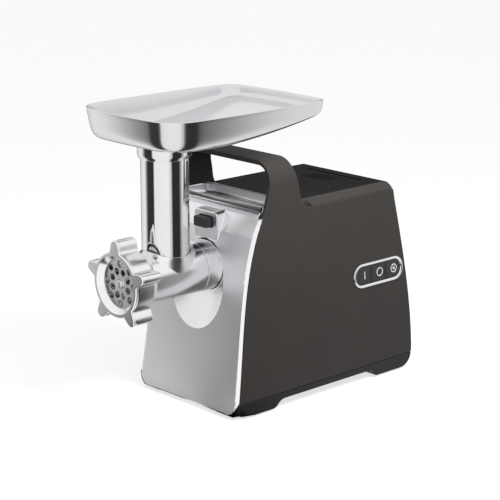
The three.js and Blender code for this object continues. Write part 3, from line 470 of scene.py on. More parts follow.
LAMINATION = look("laminated steel", (96, 98, 102), (0.35, 0.5), metallic=0.9,
                  grain=(0.5, 0.02), stretch=(0.02, 1, 0.02))
COPPER = look("enamelled copper", (178, 104, 58), (0.25, 0.4), metallic=1.0,
              grain=(0.6, 0.08), stretch=(0.05, 1, 1))
BRONZE = look("bronze", (184, 152, 84), (0.25, 0.38), metallic=1.0, grain=(0.5, 0.006))
CARBON = look("carbon brush", (46, 46, 50), (0.55, 0.75), grain=(0.3, 0.02))
BOARD = look("circuit board", (44, 104, 66), (0.35, 0.5), grain=(1.0, 0.01), vary=0.2)

# the CAD's material slot that each look is for
SLOTS = {
    CHARCOAL: "housing_plastic", BASE_BLACK: "base_plastic", GLOSS_BLACK: "gloss_black",
    SATIN: "satin_panel", CAST: "cast_aluminium", MIRROR: "polished_metal",
    TRAY_METAL: "polished_metal", CHROME: "chrome_trim", STEEL: "steel", RUBBER: "rubber",
    KEY: "button_plastic", INK: "button_plastic", WHITE_NYLON: "white_nylon",
    GREY_NYLON: "grey_nylon", LAMINATION: "laminated_steel", COPPER: "copper",
    BRONZE: "bronze", CARBON: "carbon", BOARD: "circuit_board",
}


# -------------------- side shells and handle
def side_outline():
    """The housing from the side: front edge, handle leg, flat deck and bowed rear, in (Y, Z)."""
    top = HANDLE_Z + 4
    return (
        FRONT
        + bezier([FRONT[-1], (-27, 232), (-31, top)], 14)[1:]
        + [(2, top)]
        + bezier([(9.5, 224), (11.5, DECK_Z), (LEG_REAR, DECK_Z)], 14)
        + rounded([(LEG_REAR, DECK_Z, 0), (148.8, DECK_Z, 4), (150, 200, 0)])[1:-1]
        + bezier([(148.5, DECK_Z), (160, 150), (175.5, 85), (175.5, 24)], 30)[2:]
        + bezier([(175.5, 24), (175.5, 4), (157, 4)], 10)[1:]
    )


def arch(inset, foot):
    """The hoop of side shells and handle from the front, in (X, Z), on its right foot's points."""
    half, top, radius = HALF_WIDTH - inset, HANDLE_Z - inset, 24 - inset * 1.6
    return mirrored(foot + arc(half - radius, top - radius, radius, 0, 90, 16))


def hoop():
    """Both side shells and the handle in one, before they are parted at their seam."""
    inside, step_z = HALF_WIDTH - SHELL, SHELF_Z + GAP
    foot = [(inside, 0), (inside, step_z), (HALF_WIDTH - LEG, step_z)]
    band = lean(prism(arch(0, [(HALF_WIDTH, 0)]), "Y", -100, 180))
    room = lean(prism(arch(LEG, foot), "Y", -101, 181))
    return common(cut(band, room), prism(side_outline(), "X", -90, 90))


bezel_low, bezel_high = span("switch_bezel")
CONTROL_Y, CONTROL_Z = middle("switch_bezel")[1:]
CONTROL_LENGTH = bezel_high.y - bezel_low.y
CONTROL_HEIGHT = 26.4
CONTROL_RIM = 3.4  # width of the bezel's ring
# from the origin to the right wall at the bezel
WALL = Matrix.Translation(
    Vector((HALF_WIDTH - LEAN * CONTROL_Z, CONTROL_Y, CONTROL_Z)) * MM
) @ Matrix.Rotation(-atan(LEAN), 4, "Y")


def stadium(inset):
    """The push buttons' outline round the middle of the bezel, in (Y, Z)."""
    radius = CONTROL_HEIGHT / 2 - inset
    reach = CONTROL_LENGTH / 2 - CONTROL_HEIGHT / 2
    return arc(reach, 0, radius, -90, 90, 20) + arc(-reach, 0, radius, 90, 270, 20)


def on_wall(made):
    """Puts what was made round the origin on the right wall, at the bezel."""
    made.data.transform(WALL)
    return made


def housing_shells():
    whole = soften(common(hoop(), slab(base_high.z + GAP, 400)), 0.8)
    half_seam = 0.06
    handle = common(copy(whole), slab(SEAM_Z + half_seam, 400))
    lower = common(whole, slab(-50, SEAM_Z - half_seam))
    left = common(copy(lower), side(-1))
    right = common(lower, side(1))
    right = cut(right, on_wall(prism(stadium(1.2), "X", -10, 10)))
    finish(tidy(left), "left_shell", "housing", CHARCOAL, "left_side_shell")
    finish(tidy(right), "right_shell", "housing", CHARCOAL, "right_side_shell")
    finish(tidy(handle), "handle", "housing", CHARCOAL, "handle_bar")


housing_shells()


# -------------------- front panel
HOOD_HALF = 17.5
HOOD_SLOPE = 0.08  # its top rises to the rear
HOOD_TOP = 200.5
UPSTAND = 63.7  # half width of the shelf with its end walls
COLLAR_HOLE_R = 26.9
RETAINER_ROOM_R = 33.4


def panel_path():
    """The panel's front view: straight sides and round lower corners, from the top right."""
    low, radius, half = panel_low.z, PANEL_CORNER, HALF_WIDTH
    down = [(half, FRONT_TOP - 8.5 * step) for step in range(21)]
    corner = arc(half - radius, low + radius, radius, 0, -90, 14)
    return mirrored(down + corner + [(40, low)])


def chamfer_cutter():
    """What the bright chamfer takes off, as a wedge swept down one side, along and up.

    It gets narrower round the lower corners and at the top.
    """
    path = panel_path()
    slope = PROUD / CHAMFER
    loops = []
    for i, (x, z) in enumerate(path):
        before = Vector(path[max(i - 1, 0)])
        after = Vector(path[min(i + 1, len(path) - 1)])
        along = (after - before).normalized()
        inward = Vector((-along.y, along.x))
        if inward.dot(Vector((-x, 100 - z))) < 0:
            inward = -inward
        low_edge = min(max((panel_low.z + PANEL_CORNER - z) / PANEL_CORNER, 0), 1)
        top_end = min(max((z - FRONT_TOP) / 16 + 1, 0), 1)
        width = CHAMFER * (1 - 0.7 * low_edge) * (1 - 0.85 * top_end ** 2)
        wedge = [(width + 0.3, slope * -0.3), (-2, slope * (width + 2)), (-2, -30),
                 (width + 0.3, -30)]
        loop = []
        for reach, back in wedge:
            spot = Vector((x, z)) + inward * reach
            loop.append((spot.x, front_y(z) - PROUD + back, spot.y))
        loops.append(loop)
    return lean(loft(loops))


def pocket_cone(extra, floor):
    """The pocket round the barrel: from the collar's circle to a wide oval in front."""
    mouth_y, mouth_z = -90, 115
    across, up = 60 + extra, 63 + extra
    small = [placed("Y", p, floor) for p in circle(0, AXIS_Z, 27.5 + extra)]
    wide = [(x * across, mouth_y, mouth_z + z * up) for x, z in circle(0, 0, 1)]
    return loft([small, wide])


def shelf_walls():
    """The walls behind and beside the shelf, with round corners and a cove at their foot."""
    rear = 4.6
    section = [(-41, SHELF_Z - 2), (-36.5, TOP_Z), (rear, TOP_Z), (rear, SHELF_Z - 2)]
    walls = prism(section, "X", -UPSTAND, UPSTAND)
    fall = (SHELF_EDGE_Z - SHELF_Z) / (SHELF_BACK - SHELF_FRONT)
    loops = []
    for inset, rise in ((4.2, -0.05), (2.4, 0.4), (1.1, 1.4), (0.4, 2.8), (0, 4.5), (-0.6, 14)):
        reach, back, corner = UPSTAND - 2.9 - inset, 2.2 - inset, 13 - inset
        plan = tablet(reach, -80, back, 0, corner, 10)
        # the hollow's floor slopes like the shelf
        loops.append([(x, y, SHELF_Z + rise + fall * max(0, SHELF_BACK - y)) for x, y in plan])
    return cut(walls, loft(loops))


def hood():
    """The box over the release button, open to the pocket."""
    made = prism(rectangle(-HOOD_HALF, 150, HOOD_HALF, HOOD_TOP, 4.5), "Y", POCKET_Y, -30)
    soften(made, 1.2, segments=8)
    for vertex in made.data.vertices:
        if vertex.co.z > (HOOD_TOP - 10) * MM:
            vertex.co.z += max(0, vertex.co.y / MM - POCKET_Y) * HOOD_SLOPE * MM
    return cut(made, block((-60, -41.5, 100), (60, 0, FAR)))


def front_view(half, low):
    """A tall front view with the machine's round lower corners, in (X, Z)."""
    return tablet(half, low, FAR, CORNER_REACH, 0, 14)


def panel_sheet(front):
    """The sheet with the shelf on top, rebated along both sides for the shells."""
    half = HALF_WIDTH - CHAMFER
    outline = (
        front
        + bezier([front[-1], (-42.8, SHELF_EDGE_Z), (SHELF_FRONT, SHELF_EDGE_Z)], 14)[1:]
        + [(SHELF_BACK, SHELF_Z), (4.2, SHELF_Z), (4.2, SHELF_Z - 3)]
        + bezier([(-39.5, SHELF_EDGE_Z - 3.5), (-71.5, 136), (-70.4, 71), (-82.6, 4)], 40)
    )
    rebate = front_curve(-GAP, SHELF_Z)
    rebate += [(-60, SHELF_Z), (-60, 240), (60, 240), (60, 0), (rebate[0][0], 0)]
    rebates = [prism(rebate, "X", half, 100), prism(rebate, "X", -100, -half)]
    sheet = cut(prism(outline, "X", -HALF_WIDTH, HALF_WIDTH), *rebates)
    view = prism(front_view(HALF_WIDTH, panel_low.z), "Y", -120, 20)
    return tidy(lean(common(sheet, view)))


def mark_polished(body):
    """Gives the chamfer the second material and the pocket with the hood the third."""
    for face in body.data.polygons:
        x, z = abs(face.center.x) / MM, face.center.z / MM
        if abs(face.normal.x) > 0.4 and face.normal.y < -0.5 and x > 60:
            face.material_index = 1
        elif x < 50 and 52 < z < SHELF_Z + 0.9 and face.center.y < -42 * MM and (
                abs(face.normal.x) > 0.2 or face.normal.z > 0.36):
            face.material_index = 2


def front_panel():
    """Sheet, shelf walls, hood and pocket in one.

    The chamfer is cut last, because its faces aren't quite flat.
    """
    half = HALF_WIDTH - CHAMFER
    inner = POCKET_Y + POCKET_WALL
    front = front_curve(-PROUD, SHELF_Z)
    behind = [(y + 0.2, z) for y, z in front] + [(40, SHELF_Z), (40, 4)]
    wall = common(pocket_cone(3, inner), lean(prism(behind, "X", -half, half)))
    body = join(panel_sheet(front), shelf_walls(), hood(), wall)
    hole = rectangle(-10.5, BUTTON_LOW_Z - 0.5, 10.5, button_high.z + 0.5, 1.5)
    body = cut(
        body,
        pocket_cone(0, POCKET_Y),
        rod("Y", COLLAR_HOLE_R, -80, -40, segments=96),
        rod("Y", RETAINER_ROOM_R, inner, -30, segments=96),
        *[block((sign * UPSTAND, -60, SHELF_Z), (sign * FAR, 20, FAR)) for sign in (1, -1)],
        prism(hole, "Y", -90, -30),
        block((-HOOD_HALF + 2.5, inner, 150), (HOOD_HALF - 2.5, -30, SHELF_Z - 4)),
        chamfer_cutter(),
    )
    looks = (SATIN, POLISHED_EDGE, POCKET_METAL)
    for material in looks:
        body.data.materials.append(material)
    mark_polished(tidy(body))
    soften(body, 0.5, angle=16, segments=1, material=1)
    finish(tidy(body), "panel", "housing", looks, "front_panel", sharp=15)


front_panel()


# -------------------- top cover, lid and bin
COVER_HALF = 62  # half width of the black top face
LID_HALF = 40
LID_AXIS = middle("lid_hinge_pin")[1:]
HINGE_R = 1.1
GLOSS_Z = TOP_Z + 0.15  # the glossy panel and the lid stand a little proud


def cover_profile():
    """The cover from the side, with a rounded rear edge, in (Y, Z)."""
    low, front = cover_low.z, cover_low.y
    return (
        [(front, low), (144, low), (148.2, DECK_Z + GAP)]
        + bezier([(148.2, DECK_Z + GAP), (147.4, TOP_Z), (142, TOP_Z)], 8)[1:]
        + [(front, TOP_Z)]
    )


def leg_room():
    """Room for the handle's legs beside the cover."""
    right = rectangle(63.9, 0, 100, LEG_REAR + 1 + GAP, 4)
    return [prism([(sign * x, y) for x, y in right], "Z", 190, 230) for sign in (1, -1)]


def top_cover():
    """The border slopes down to the side shells. The glossy panel lies inside it."""
    lip = DECK_Z + GAP
    border = mirrored([(65.7, cover_low.z), (65.7, lip), (68.5, lip), (COVER_HALF, TOP_Z)])
    border = common(prism(border, "Y", 0, 160), prism(cover_profile(), "X", -90, 90))
    panel = tablet(COVER_HALF - 0.6, 5.2, 141, 0.5, 5, 8)
    seat_half, seat_rear = LID_HALF + 0.4, lid_high.y + 0.4
    seat = rectangle(-seat_half, lid_low.y - 0.4, seat_half, seat_rear, 7)
    openings = [
        prism(seat, "Z", TOP_Z - 3.3, FAR),
        block((-seat_half, 110, LID_AXIS[1] - 0.8), (seat_half, seat_rear, FAR)),
        block((-37, 58, 190), (37, seat_rear, FAR)),
    ]
    glass = cut(prism(panel, "Z", TOP_Z - 1.2, GLOSS_Z), *[copy(o) for o in openings])
    border = cut(border, prism(panel, "Z", TOP_Z - 1.15, FAR), *leg_room(), *openings,
                 rod("X", HINGE_R, -44, 44, LID_AXIS, 24))
    finish(ease(border, 0.5), "cover_border", "housing", CHARCOAL, "top_cover")
    finish(ease(glass, 0.3, segments=2), "cover_panel", "housing", GLOSS_BLACK)


def storage_lid():
    """The lid lies in a rebate, with grip grooves near its hinge."""
    plan = rectangle(-LID_HALF, lid_low.y, LID_HALF, lid_high.y, 7)
    flat = common(prism(plan, "Z", TOP_Z - 3, GLOSS_Z),
                  block((-60, 0, 0), (60, LID_AXIS[0], FAR)))
    grips = []
    for i in range(6):
        y = 97 + 4 * i
        grips.append(prism(rectangle(-19, y, 19, y + 1.4, 0.6), "Z", TOP_Z - 0.8, FAR))
    for x in (-9.5, 0, 9.5):
        grips.append(prism(rectangle(x - 0.4, 95, x + 0.4, 119, 0.3), "Z", TOP_Z - 0.5, FAR))
    knuckle = rod("X", 2.6, -36.5, 36.5, LID_AXIS, 48)
    lid = cut(join(flat, knuckle), rod("X", HINGE_R, -50, 50, LID_AXIS, 24), *grips)
    finish(ease(lid, 0.25, segments=2), "lid", "lid", GLOSS_BLACK, "storage_lid")


def storage_bin():
    top = DECK_Z - 3
    outside = prism(rectangle(-36.6, 58.4, 36.6, 119.6, 5), "Z", 160, top)
    flange = prism(rectangle(-41, 54, 41, 119.6, 3), "Z", top - 2, top)
    bin_shape = cut(join(outside, flange),
                    prism(rectangle(-34.6, 60.4, 34.6, 117.6, 3), "Z", 162, FAR))
    finish(soften(tidy(bin_shape), 0.5), "bin", "housing", BASE_BLACK, "storage_bin")


top_cover()
storage_lid()
storage_bin()


# -------------------- rear cover, base and feet
def rear_cover():
    low = base_high.z + GAP
    outer = bezier([(149.2, DECK_Z - 3), (160.3, 148), (175.5, 85), (175.5, 24)], 30)
    inner = bezier([(172.5, 24), (172.5, 85), (157, 148), (146.4, DECK_Z - 3)], 30)
    cover = lean(prism(outer + [(174.6, low), (171.6, low)] + inner, "X", -74.7, 74.7))
    slots = []
    for i in range(8):
        z = 76 + 8 * i
        slots.append(prism(rectangle(-34, z, 34, z + 3.4, 1.6), "Y", 130, 190))
    gland_x, _, gland_z = middle("cord_gland")
    cover = cut(cover, rod("Y", 8, 160, 190, (gland_x, gland_z)), *slots)
    finish(ease(cover, 0.6), "rear_shell", "housing", CHARCOAL, "rear_cover")
    profile = rounded([(3.7, 168), (9.5, 168), (9.5, 171.1), (7.7, 171.1), (7.7, 175.5, 1.5),
                       (5.2, 175.5), (3.7, 174, 1)], 0.4)
    finish(lathe(profile, "Y", (gland_x, gland_z), 48), "gland", "housing", RUBBER, "cord_gland")


feet = [span(f"right_{end}_foot") for end in ("front", "rear")]
FEET_Y = [(low.y, high.y) for low, high in feet]
FOOT_X = (feet[0][0].x, feet[0][1].x)
SCREW_X = 64
SCREW_Y = [middle(f"base_screw_{number}")[1] for number in (1, 3)]


def base_outline():
    """The base from the side: two feet with an arch between them, in (Y, Z)."""
    top, low, arch_z = base_high.z, base_low.z, 10
    return (
        [(-82.6, top), (-83.6, 3.4)]
        + bezier([(-83.6, 3.4), (-83.2, low), (-80, low)], 4)[1:]
        + bezier([(-37, low), (-27, low), (-28, arch_z), (-17, arch_z)], 14)
        + bezier([(107, arch_z), (116, arch_z), (114, low), (121, low)], 14)
        + bezier([(156, low), (172, 3), (174.6, top)], 12)
    )


def base():
    pan = prism(base_outline(), "X", -HALF_WIDTH, HALF_WIDTH)
    # the lower edges get rounder to the front, to meet the panel's round corners
    sections = []
    for y, inset, radius in ((-90, 3, 24), (-82.5, 0.8, 21), (-78, 0, 15), (-72, 0, 7), (-60, 0, 2),
                             (180, 0, 2)):
        half, low = HALF_WIDTH + 0.1 - inset, base_low.z - 0.05
        sections.append((tablet(half, low, 30, radius, 0.5, 10), y))
    pan = lean(common(pan, stack("Y", sections)))
    tools = [
        block((-44, -200, -5), (44, 200, 10)),
        block((-60, -70, 13), (60, 165, 20)),
        lean(prism(front_view(HALF_WIDTH + GAP, panel_low.z - GAP), "Y", -100, -80)),
    ]
    for sign in (-1, 1):
        for near, far in FEET_Y:
            pad = rectangle(FOOT_X[0] - GAP, near - GAP, FOOT_X[1] + GAP, far + GAP, 6)
            tools.append(prism([(sign * x, y) for x, y in pad], "Z", -5, 4))
        for y in SCREW_Y:
            tools.append(rod("Z", 2.3, -5, 30, (sign * SCREW_X, y), 24))
            tools.append(rod("Z", 4.2, -5, 12, (sign * SCREW_X, y), 32))
    for i in range(7):
        tools.append(prism(rectangle(-30, 30 + 9 * i, 30, 34 + 9 * i, 1.8), "Z", -5, 30))
    finish(ease(cut(pan, *tools), 0.7), "base", "housing", BASE_BLACK, "base_pan")


def rubber_feet():
    """A pad under each corner, with a hole for its screw and four grooves."""
    for sign, hand in ((-1, "left"), (1, "right")):
        for (near, far), y, end in zip(FEET_Y, SCREW_Y, ("front", "rear")):
            pad = [(sign * x, v) for x, v in rectangle(FOOT_X[0], near, FOOT_X[1], far, 6)]
            foot = cut(prism(pad, "Z", 0, 3.7), rod("Z", 4.6, -1, 10, (sign * SCREW_X, y), 32))
            foot = cut(foot, *[block((sign * 60 - 12, v, -1), (sign * 60 + 12, v + 0.8, 0.6))
                               for v in (near + 4, near + 7, far - 7.8, far - 4.8)])
            finish(ease(foot, 0.5), f"{hand}_{end}_pad", "housing", RUBBER, f"{hand}_{end}_foot")


rear_cover()
base()
rubber_feet()


# -------------------- push buttons
DIVIDERS = (-38, -10.6, 11.8, 38)  # along Y from the middle of the bezel
PRINT = (0.3, 0.87)  # the marks' depth in the keys and their height


def bezel():
    """A domed chrome ring whose sleeve goes into the wall."""
    section = [(0, GAP), (0.1, 1.1), (0.5, 1.6), (1.1, 1.9), (1.9, 1.85), (2.6, 1.5),
               (3.2, 0.9), (CONTROL_RIM, 0.2), (CONTROL_RIM, -6), (1.5, -6), (1.5, GAP)]
    loops = [[placed("X", p, height) for p in stadium(inset)] for inset, height in section]
    ring = on_wall(loft(loops, ring=True))
    finish(ring, "bezel", "housing", CHROME, "switch_bezel", sharp=60)


def ring_mark(y):
    """A printed ring, round a place along Y."""
    radius, width = 4.8, 1.1
    return cut(prism(circle(y, 0, radius, 40), "X", *PRINT),
               prism(circle(y, 0, radius - width, 40), "X", -1, 2))


def keys():
    marks = {
        "on": [prism(rectangle(-21.6, -4.2, -20.4, 4.2, 0.5), "X", *PRINT)],
        "off": [ring_mark(2.2)],
        "reverse": [ring_mark(24.2), prism([(22.1, 0), (25.3, -2.2), (25.3, 2.2)], "X", *PRINT)],
    }
    for name, near, far in zip(marks, DIVIDERS, DIVIDERS[1:]):
        cap = prism(stadium(CONTROL_RIM + 0.35), "X", -8, 0.8)
        key = common(cap, block((-20, near + 0.25, -20), (20, far - 0.25, 20)))
        dish = rod("Y", 60, near + 1.4, far - 1.4, (60.35, 0), 200)
        key = soften(tidy(key), 0.45)
        key = ease(cut(key, dish), 0.12, angle=8, segments=1)
        finish(on_wall(key), f"{name}_key_cap", f"{name}_key", KEY, f"{name}_button")
        for i, mark in enumerate(marks[name]):
            finish(on_wall(soften(tidy(mark), 0.08, segments=1)), f"{name}_mark_{i + 1}",
                   f"{name}_key", INK)


bezel()
keys()


# -------------------- release button and socket
def release_button():
    high = button_high.z
    front, rear = button_low.y, button_high.y
    cap = prism(rectangle(-10, BUTTON_LOW_Z, 10, high, 2), "Y", front, rear)
    cap = soften(cap, 1.1, segments=4)
    ribs = [block((-12, y, high - 0.5), (12, y + 0.7, high + 1)) for y in (front + 3, front + 5)]
    cap = cut(cap, *ribs)
    arm = block((-4, -44, 168), (4, -40, 186))
    latch = rod("Y", 1.8, -44.9, -42, (0, 170), 24)
    cap = cut(join(cap, arm, latch), rod("Y", 4.2, front + 14.5, rear + 1, (0, 190), 32))
    finish(ease(cap, 0.15, segments=1), "release_cap", "release", KEY, "release_button")


def locking_collar():
    inner, outer, flange = 23.8, 26.2, 28.5
    front, step, rear = collar_low.y, -49, collar_high.y
    profile = rounded([(inner, front), (outer, front, 0.6), (outer, step), (flange, step),
                       (flange, rear), (inner, rear)], 0.3)
    collar = lathe(profile, "Y", segments=128)
    collar = cut(collar, *[block((sign * 22.5, -80, AXIS_Z - 4.3), (sign * 25, -56, AXIS_Z + 4.3))
                           for sign in (-1, 1)])
    finish(tidy(collar), "collar_ring", "collar", CAST, "locking_collar")


def socket():
    ring = rounded([(26.6, -54.2), (33, -54.2), (33, -49.5), (26.6, -49.5)], 0.4)
    finish(lathe(ring, "Y"), "retainer", "housing", STEEL, "socket_retainer")
    cup = rounded([(24.4, -30), (33, -30), (33, -49.2), (28.9, -49.2), (28.9, -45.1),
                   (24.4, -45.1)], 0.4)
    cup = cut(lathe(cup, "Y"), block((-5, -45.6, 166), (5, -34, 182)))
    finish(tidy(cup), "socket_cup", "housing", CAST, "head_socket")


release_button()
locking_collar()
socket()


# -------------------- grinding head
MOUTH_Y = barrel_low.y
SEAT_Y = plate_high.y + GAP
NECK_ARCH_R = 62  # the flank's upper edge is a big circle, seen from the front
NECK_ARCH_Z = -35.2  # its middle, from the axis


def barrel_skirt(outer):
    """The casting's flank that rises from the barrel to the feed tube's lower edge."""
    loops = []
    for turn in range(0, 360, 3):
        across, ahead = cos(radians(turn)), sin(radians(turn))

        def place(radius, z):
            return (radius * across, TUBE_Y + radius * ahead, AXIS_Z + z)

        def skin(radius):
            """Height of the barrel's surface at a distance from the tube's axis."""
            return sqrt(outer ** 2 - min(abs(radius * across), outer) ** 2)

        top = sqrt(NECK_ARCH_R ** 2 - (outer * across) ** 2) + NECK_ARCH_Z
        foot, waist = outer - 0.3 + 7.3 * ahead ** 2, 25 + 1.4 * ahead ** 2
        bend = skin(waist) + 0.6 * (top - skin(waist))
        curve = bezier([place(foot, skin(foot) - 0.4), place(waist, bend), place(24.9, top)], 8)
        loops.append(curve + [place(23, top), place(23, skin(foot) * 0.8 - 1)])
    return loft(loops, ring=True)


def barrel():
    outer, bore, spigot, tail = 26, 23, 23.5, collar_low.y - GAP
    profile = rounded(
        [(27.3, MOUTH_Y), (30.2, MOUTH_Y, 0.8), (30.2, -154, 2), (outer, -146, 4),
         (outer, tail, 0.7), (spigot, tail, 0), (spigot, -46, 0.8), (21, -46), (21, -79, 1),
         (bore, -81, 1), (bore, SEAT_Y), (27.3, SEAT_Y)], 0.4)
    shell = join(lathe(profile, "Y", segments=160), barrel_skirt(outer))
    port = rod("Z", tube_high.x + GAP, AXIS_Z + 5, AXIS_Z + 40, (0, TUBE_Y), 128)
    seat = cut(port, rod("Y", 24.4, -200, 0, segments=160))
    lugs = [block((sign * 22.5, -73, AXIS_Z - 4), (sign * 24.7, -57, AXIS_Z + 4))
            for sign in (-1, 1)]
    key = block((-2, MOUTH_Y, AXIS_Z + 25.6), (2, SEAT_Y + 1, AXIS_Z + 28.5))
    throat = rod("Z", 20, AXIS_Z, AXIS_Z + 40, (0, TUBE_Y), 96)
    inside = rod("Y", bore, -140, -90, segments=160)
    shell = cut(join(shell, key, *lugs), seat, throat, inside)
    finish(tidy(shell), "barrel", "head", CAST, "head_barrel", sharp=75)


def feed_tube():
    radius = tube_high.x
    corners = [(21, 140), (radius, 140), (radius, tube_high.z), (21, tube_high.z)]
    tube = lathe(rounded(corners, 0.6), "Z", (0, TUBE_Y), 160)
    tube = cut(tube, rod("Y", 24.7, -200, 0, segments=160))
    finish(tidy(tube), "tube", "head", MIRROR, "feed_tube")


def nut_outline(inset):
    """The nut from the front: five rounded grips that flow out of a round body."""
    lobes, steps, root, rise = 5, 260, 33, 12
    outline = []
    for i in range(steps):
        angle = 2 * pi * i / steps
        phase = cos((angle - pi / 2) * lobes)
        share = max(0, (phase - 0.25) / 0.75) ** 1.6
        radius = root + rise * share * share * (3 - 2 * share) - inset
        outline.append((radius * cos(angle), AXIS_Z + radius * sin(angle)))
    return outline


def ring_nut():
    """A rim in front, a narrow groove behind it and the grips' long backs."""
    front, rear = nut_low.y, nut_high.y
    stations = [(0, 1.6), (0.25, 0.8), (0.8, 0.2), (1.5, 0), (2.2, 0.1), (2.7, 0.9), (3.4, 0.9),
                (3.8, 0.5), (5, 0.4), (23.4, 0.4), (24.4, 0.9), (25, 1.8)]
    nut = stack("Y", [(nut_outline(inset), front + along) for along, inset in stations])
    seat = plate_low.y
    bore = rounded([(0, front - 1, 0), (30.2, front - 1, 0), (28.6, front + 0.9, 0.8),
                    (24.8, seat - 0.8, 0.6), (24.6, seat - GAP, 0), (30.5, seat - GAP, 0),
                    (30.5, rear + 1, 0), (0, rear + 1, 0)])
    nut = cut(nut, lathe(bore, "Y", segments=160))
    finish(tidy(nut), "nut_ring", "nut", CAST, "ring_nut", sharp=50)


def cutting_plate():
    plate = rod("Y", 27, plate_low.y, plate_high.y, segments=128)
    drills = [rod("Y", 4.4, -FAR, 0)]
    for i in range(8):
        for radius, turn in ((20, 0), (12.8, 22.5)):
            angle = radians(45 * i + turn)
            spot = (radius * cos(angle), AXIS_Z + radius * sin(angle))
            drills.append(rod("Y", 3.5, -FAR, 0, spot, 32))
    notch = block((-2.3, -200, AXIS_Z + 25), (2.3, -100, AXIS_Z + 40))
    plate = ease(cut(plate, notch, *drills), 0.3, angle=60, segments=2)
    finish(plate, "plate_disc", "plate", STEEL, "cutting_plate")


def feed_screw():
    """One fin on a round core, twisted along its length, with a tip that turns in the plate."""
    start, end, pitch, steps = -154, -83, 25, 142
    fin = 0.28  # half the fin's angle, in radians
    flank = [(12, 1.2), (22.1, 0.9), (22.5, 0.7)]  # radius and share of that angle
    axis = Vector((0, AXIS_Z))
    section = [(9.5, fin * 1.6 + (2 * pi - 3.2 * fin) * i / 20) for i in range(21)]
    section += [(radius, -fin * share) for radius, share in flank]
    section += [(radius, fin * share) for radius, share in reversed(flank)]
    layers = []
    for step in range(steps + 1):
        y = start + (end - start) * step / steps
        turn = 2 * pi * (y - start) / pitch
        outline = [axis + Vector((cos(a - turn), sin(a - turn))) * r for r, a in section]
        layers.append((outline, y))
    core = lathe(rounded([(0, -171, 0), (4, -171, 1), (4, -155, 0), (10, -155), (10, -82),
                          (20.4, -84), (20.4, -77), (0, -77, 0)], 0.4), "Y", segments=64)
    square = block((-4, -162.5, AXIS_Z - 4), (4, start + 1, AXIS_Z + 4))
    screw = join(stack("Y", layers), core, square)
    finish(tidy(screw), "screw", "auger", CAST, "feed_screw")


def cross_blade():
    hub = rod("Y", 8.5, SEAT_Y + 0.1, SEAT_Y + 7.1)
    arm = [(-3, 0), (4, 0), (1.5, 22), (-3.5, 21)]
    arms = []
    for i in range(4):
        turn = Matrix.Rotation(radians(90 * i), 2)
        corners = [turn @ Vector(p) + Vector((0, AXIS_Z)) for p in arm]
        arms.append(prism(corners, "Y", SEAT_Y + 0.1, SEAT_Y + 3.1))
    square = block((-4.3, -200, AXIS_Z - 4.3), (4.3, -100, AXIS_Z + 4.3))
    blade = ease(cut(join(hub, *arms), square), 0.3, segments=2)
    finish(blade, "blade", "auger", STEEL, "cross_blade")


barrel()
feed_tube()
ring_nut()
cutting_plate()
feed_screw()
cross_blade()


# -------------------- tray
TRAY_MIDDLE = middle("tray")[1]
TRAY_HALF = (tray_high.x, (tray_high.y - tray_low.y) / 2)
FLOOR_Z = tray_low.z
TRAY_BOW = 4  # the sides bow out by this much between the corners


def floor_z(y):
    """Height of the tray's underside: level round the tube and rising to the rear."""
    if y < -82:
        return FLOOR_Z
    t = (y + 82) / 94
    return FLOOR_Z + 7.2 * t + 5.4 * t * t


def split(loop, length):
    """The same loop with its edges cut to about a length."""
    made = []
    for a, b in zip(loop, loop[1:] + loop[:1]):
        count = max(1, round((Vector(b) - Vector(a)).length / length))
        made += [tuple(Vector(a).lerp(Vector(b), i / count)) for i in range(count)]
    return made


def tray():
    rim = tray_high.z
    half_x, half_y = TRAY_HALF
    x, y = half_x - TRAY_BOW, half_y - TRAY_BOW
    plan = []
    for a, b in split(tablet(x, -y, y, 32, 17, 16), 6):
        bow_x, bow_y = 1 - (b / y) ** 2, 1 - (a / x) ** 2
        plan.append((a * (1 + TRAY_BOW / x * bow_x), b * (1 + TRAY_BOW / y * bow_y)))
    draft = 4.5 / (rim - FLOOR_Z)  # how far the wall moves in for each millimetre down

    def wall_loop(drop, inward):
        """A loop of the skin: drop runs from 0 at the rim to 1 at the floor."""
        loop = []
        for x, y in plan:
            floor = floor_z(y * 0.86 + TRAY_MIDDLE) + inward
            z = rim - 0.6 - (rim - 0.6 - floor) * drop
            inset = inward + (rim - z) * draft
            loop.append((x * (1 - inset / half_x), y * (1 - inset / half_y) + TRAY_MIDDLE, z))
        return loop

    def to_hole(loop, share, lift):
        """A loop of the floor, part of the way from the wall to the tube's hole."""
        made = []
        for x, y, _ in loop:
            turn = atan2(y - TUBE_Y, x)
            hole = Vector((21 * cos(turn), TUBE_Y + 21 * sin(turn)))
            spot = Vector((x, y)).lerp(hole, share)
            made.append((spot.x, spot.y, floor_z(spot.y) + lift))
        return made

    wall, corner = 1.8, 10
    drops = [0, 0.12, 0.24, 0.36, 0.46, 0.56]

    def skin(inward):
        """The wall, the rounded edge between wall and floor, then the floor to the hole."""
        loops = [wall_loop(drop, inward) for drop in drops]
        last, edge = loops[-1], wall_loop(1, inward)
        centre = Vector((0, TRAY_MIDDLE))
        ends = []
        for x, y, _ in edge:
            back = (centre - Vector((x, y))).normalized() * corner
            ends.append((x + back.x, y + back.y, floor_z(y + back.y) + inward))
        for step in range(1, 9):
            loops.append([bezier([a, b, c], 8)[step] for a, b, c in zip(last, edge, ends)])
        shares = [0.05, 0.12, 0.2, 0.3, 0.4, 0.5, 0.6, 0.7, 0.8, 0.88, 0.94, 0.98, 1]
        loops += [to_hole(ends, share, inward) for share in shares]
        return loops

    lip = [[(x, y, rim - drop) for x, y, _ in wall_loop(0, inward)]
           for inward, drop in ((wall - 0.3, 0.15), (wall / 2, 0), (0.3, 0.15))]
    loops = skin(wall)[::-1] + lip + skin(0)
    finish(loft(loops, ring=True), "tray_dish", "tray", TRAY_METAL, "tray", sharp=60)


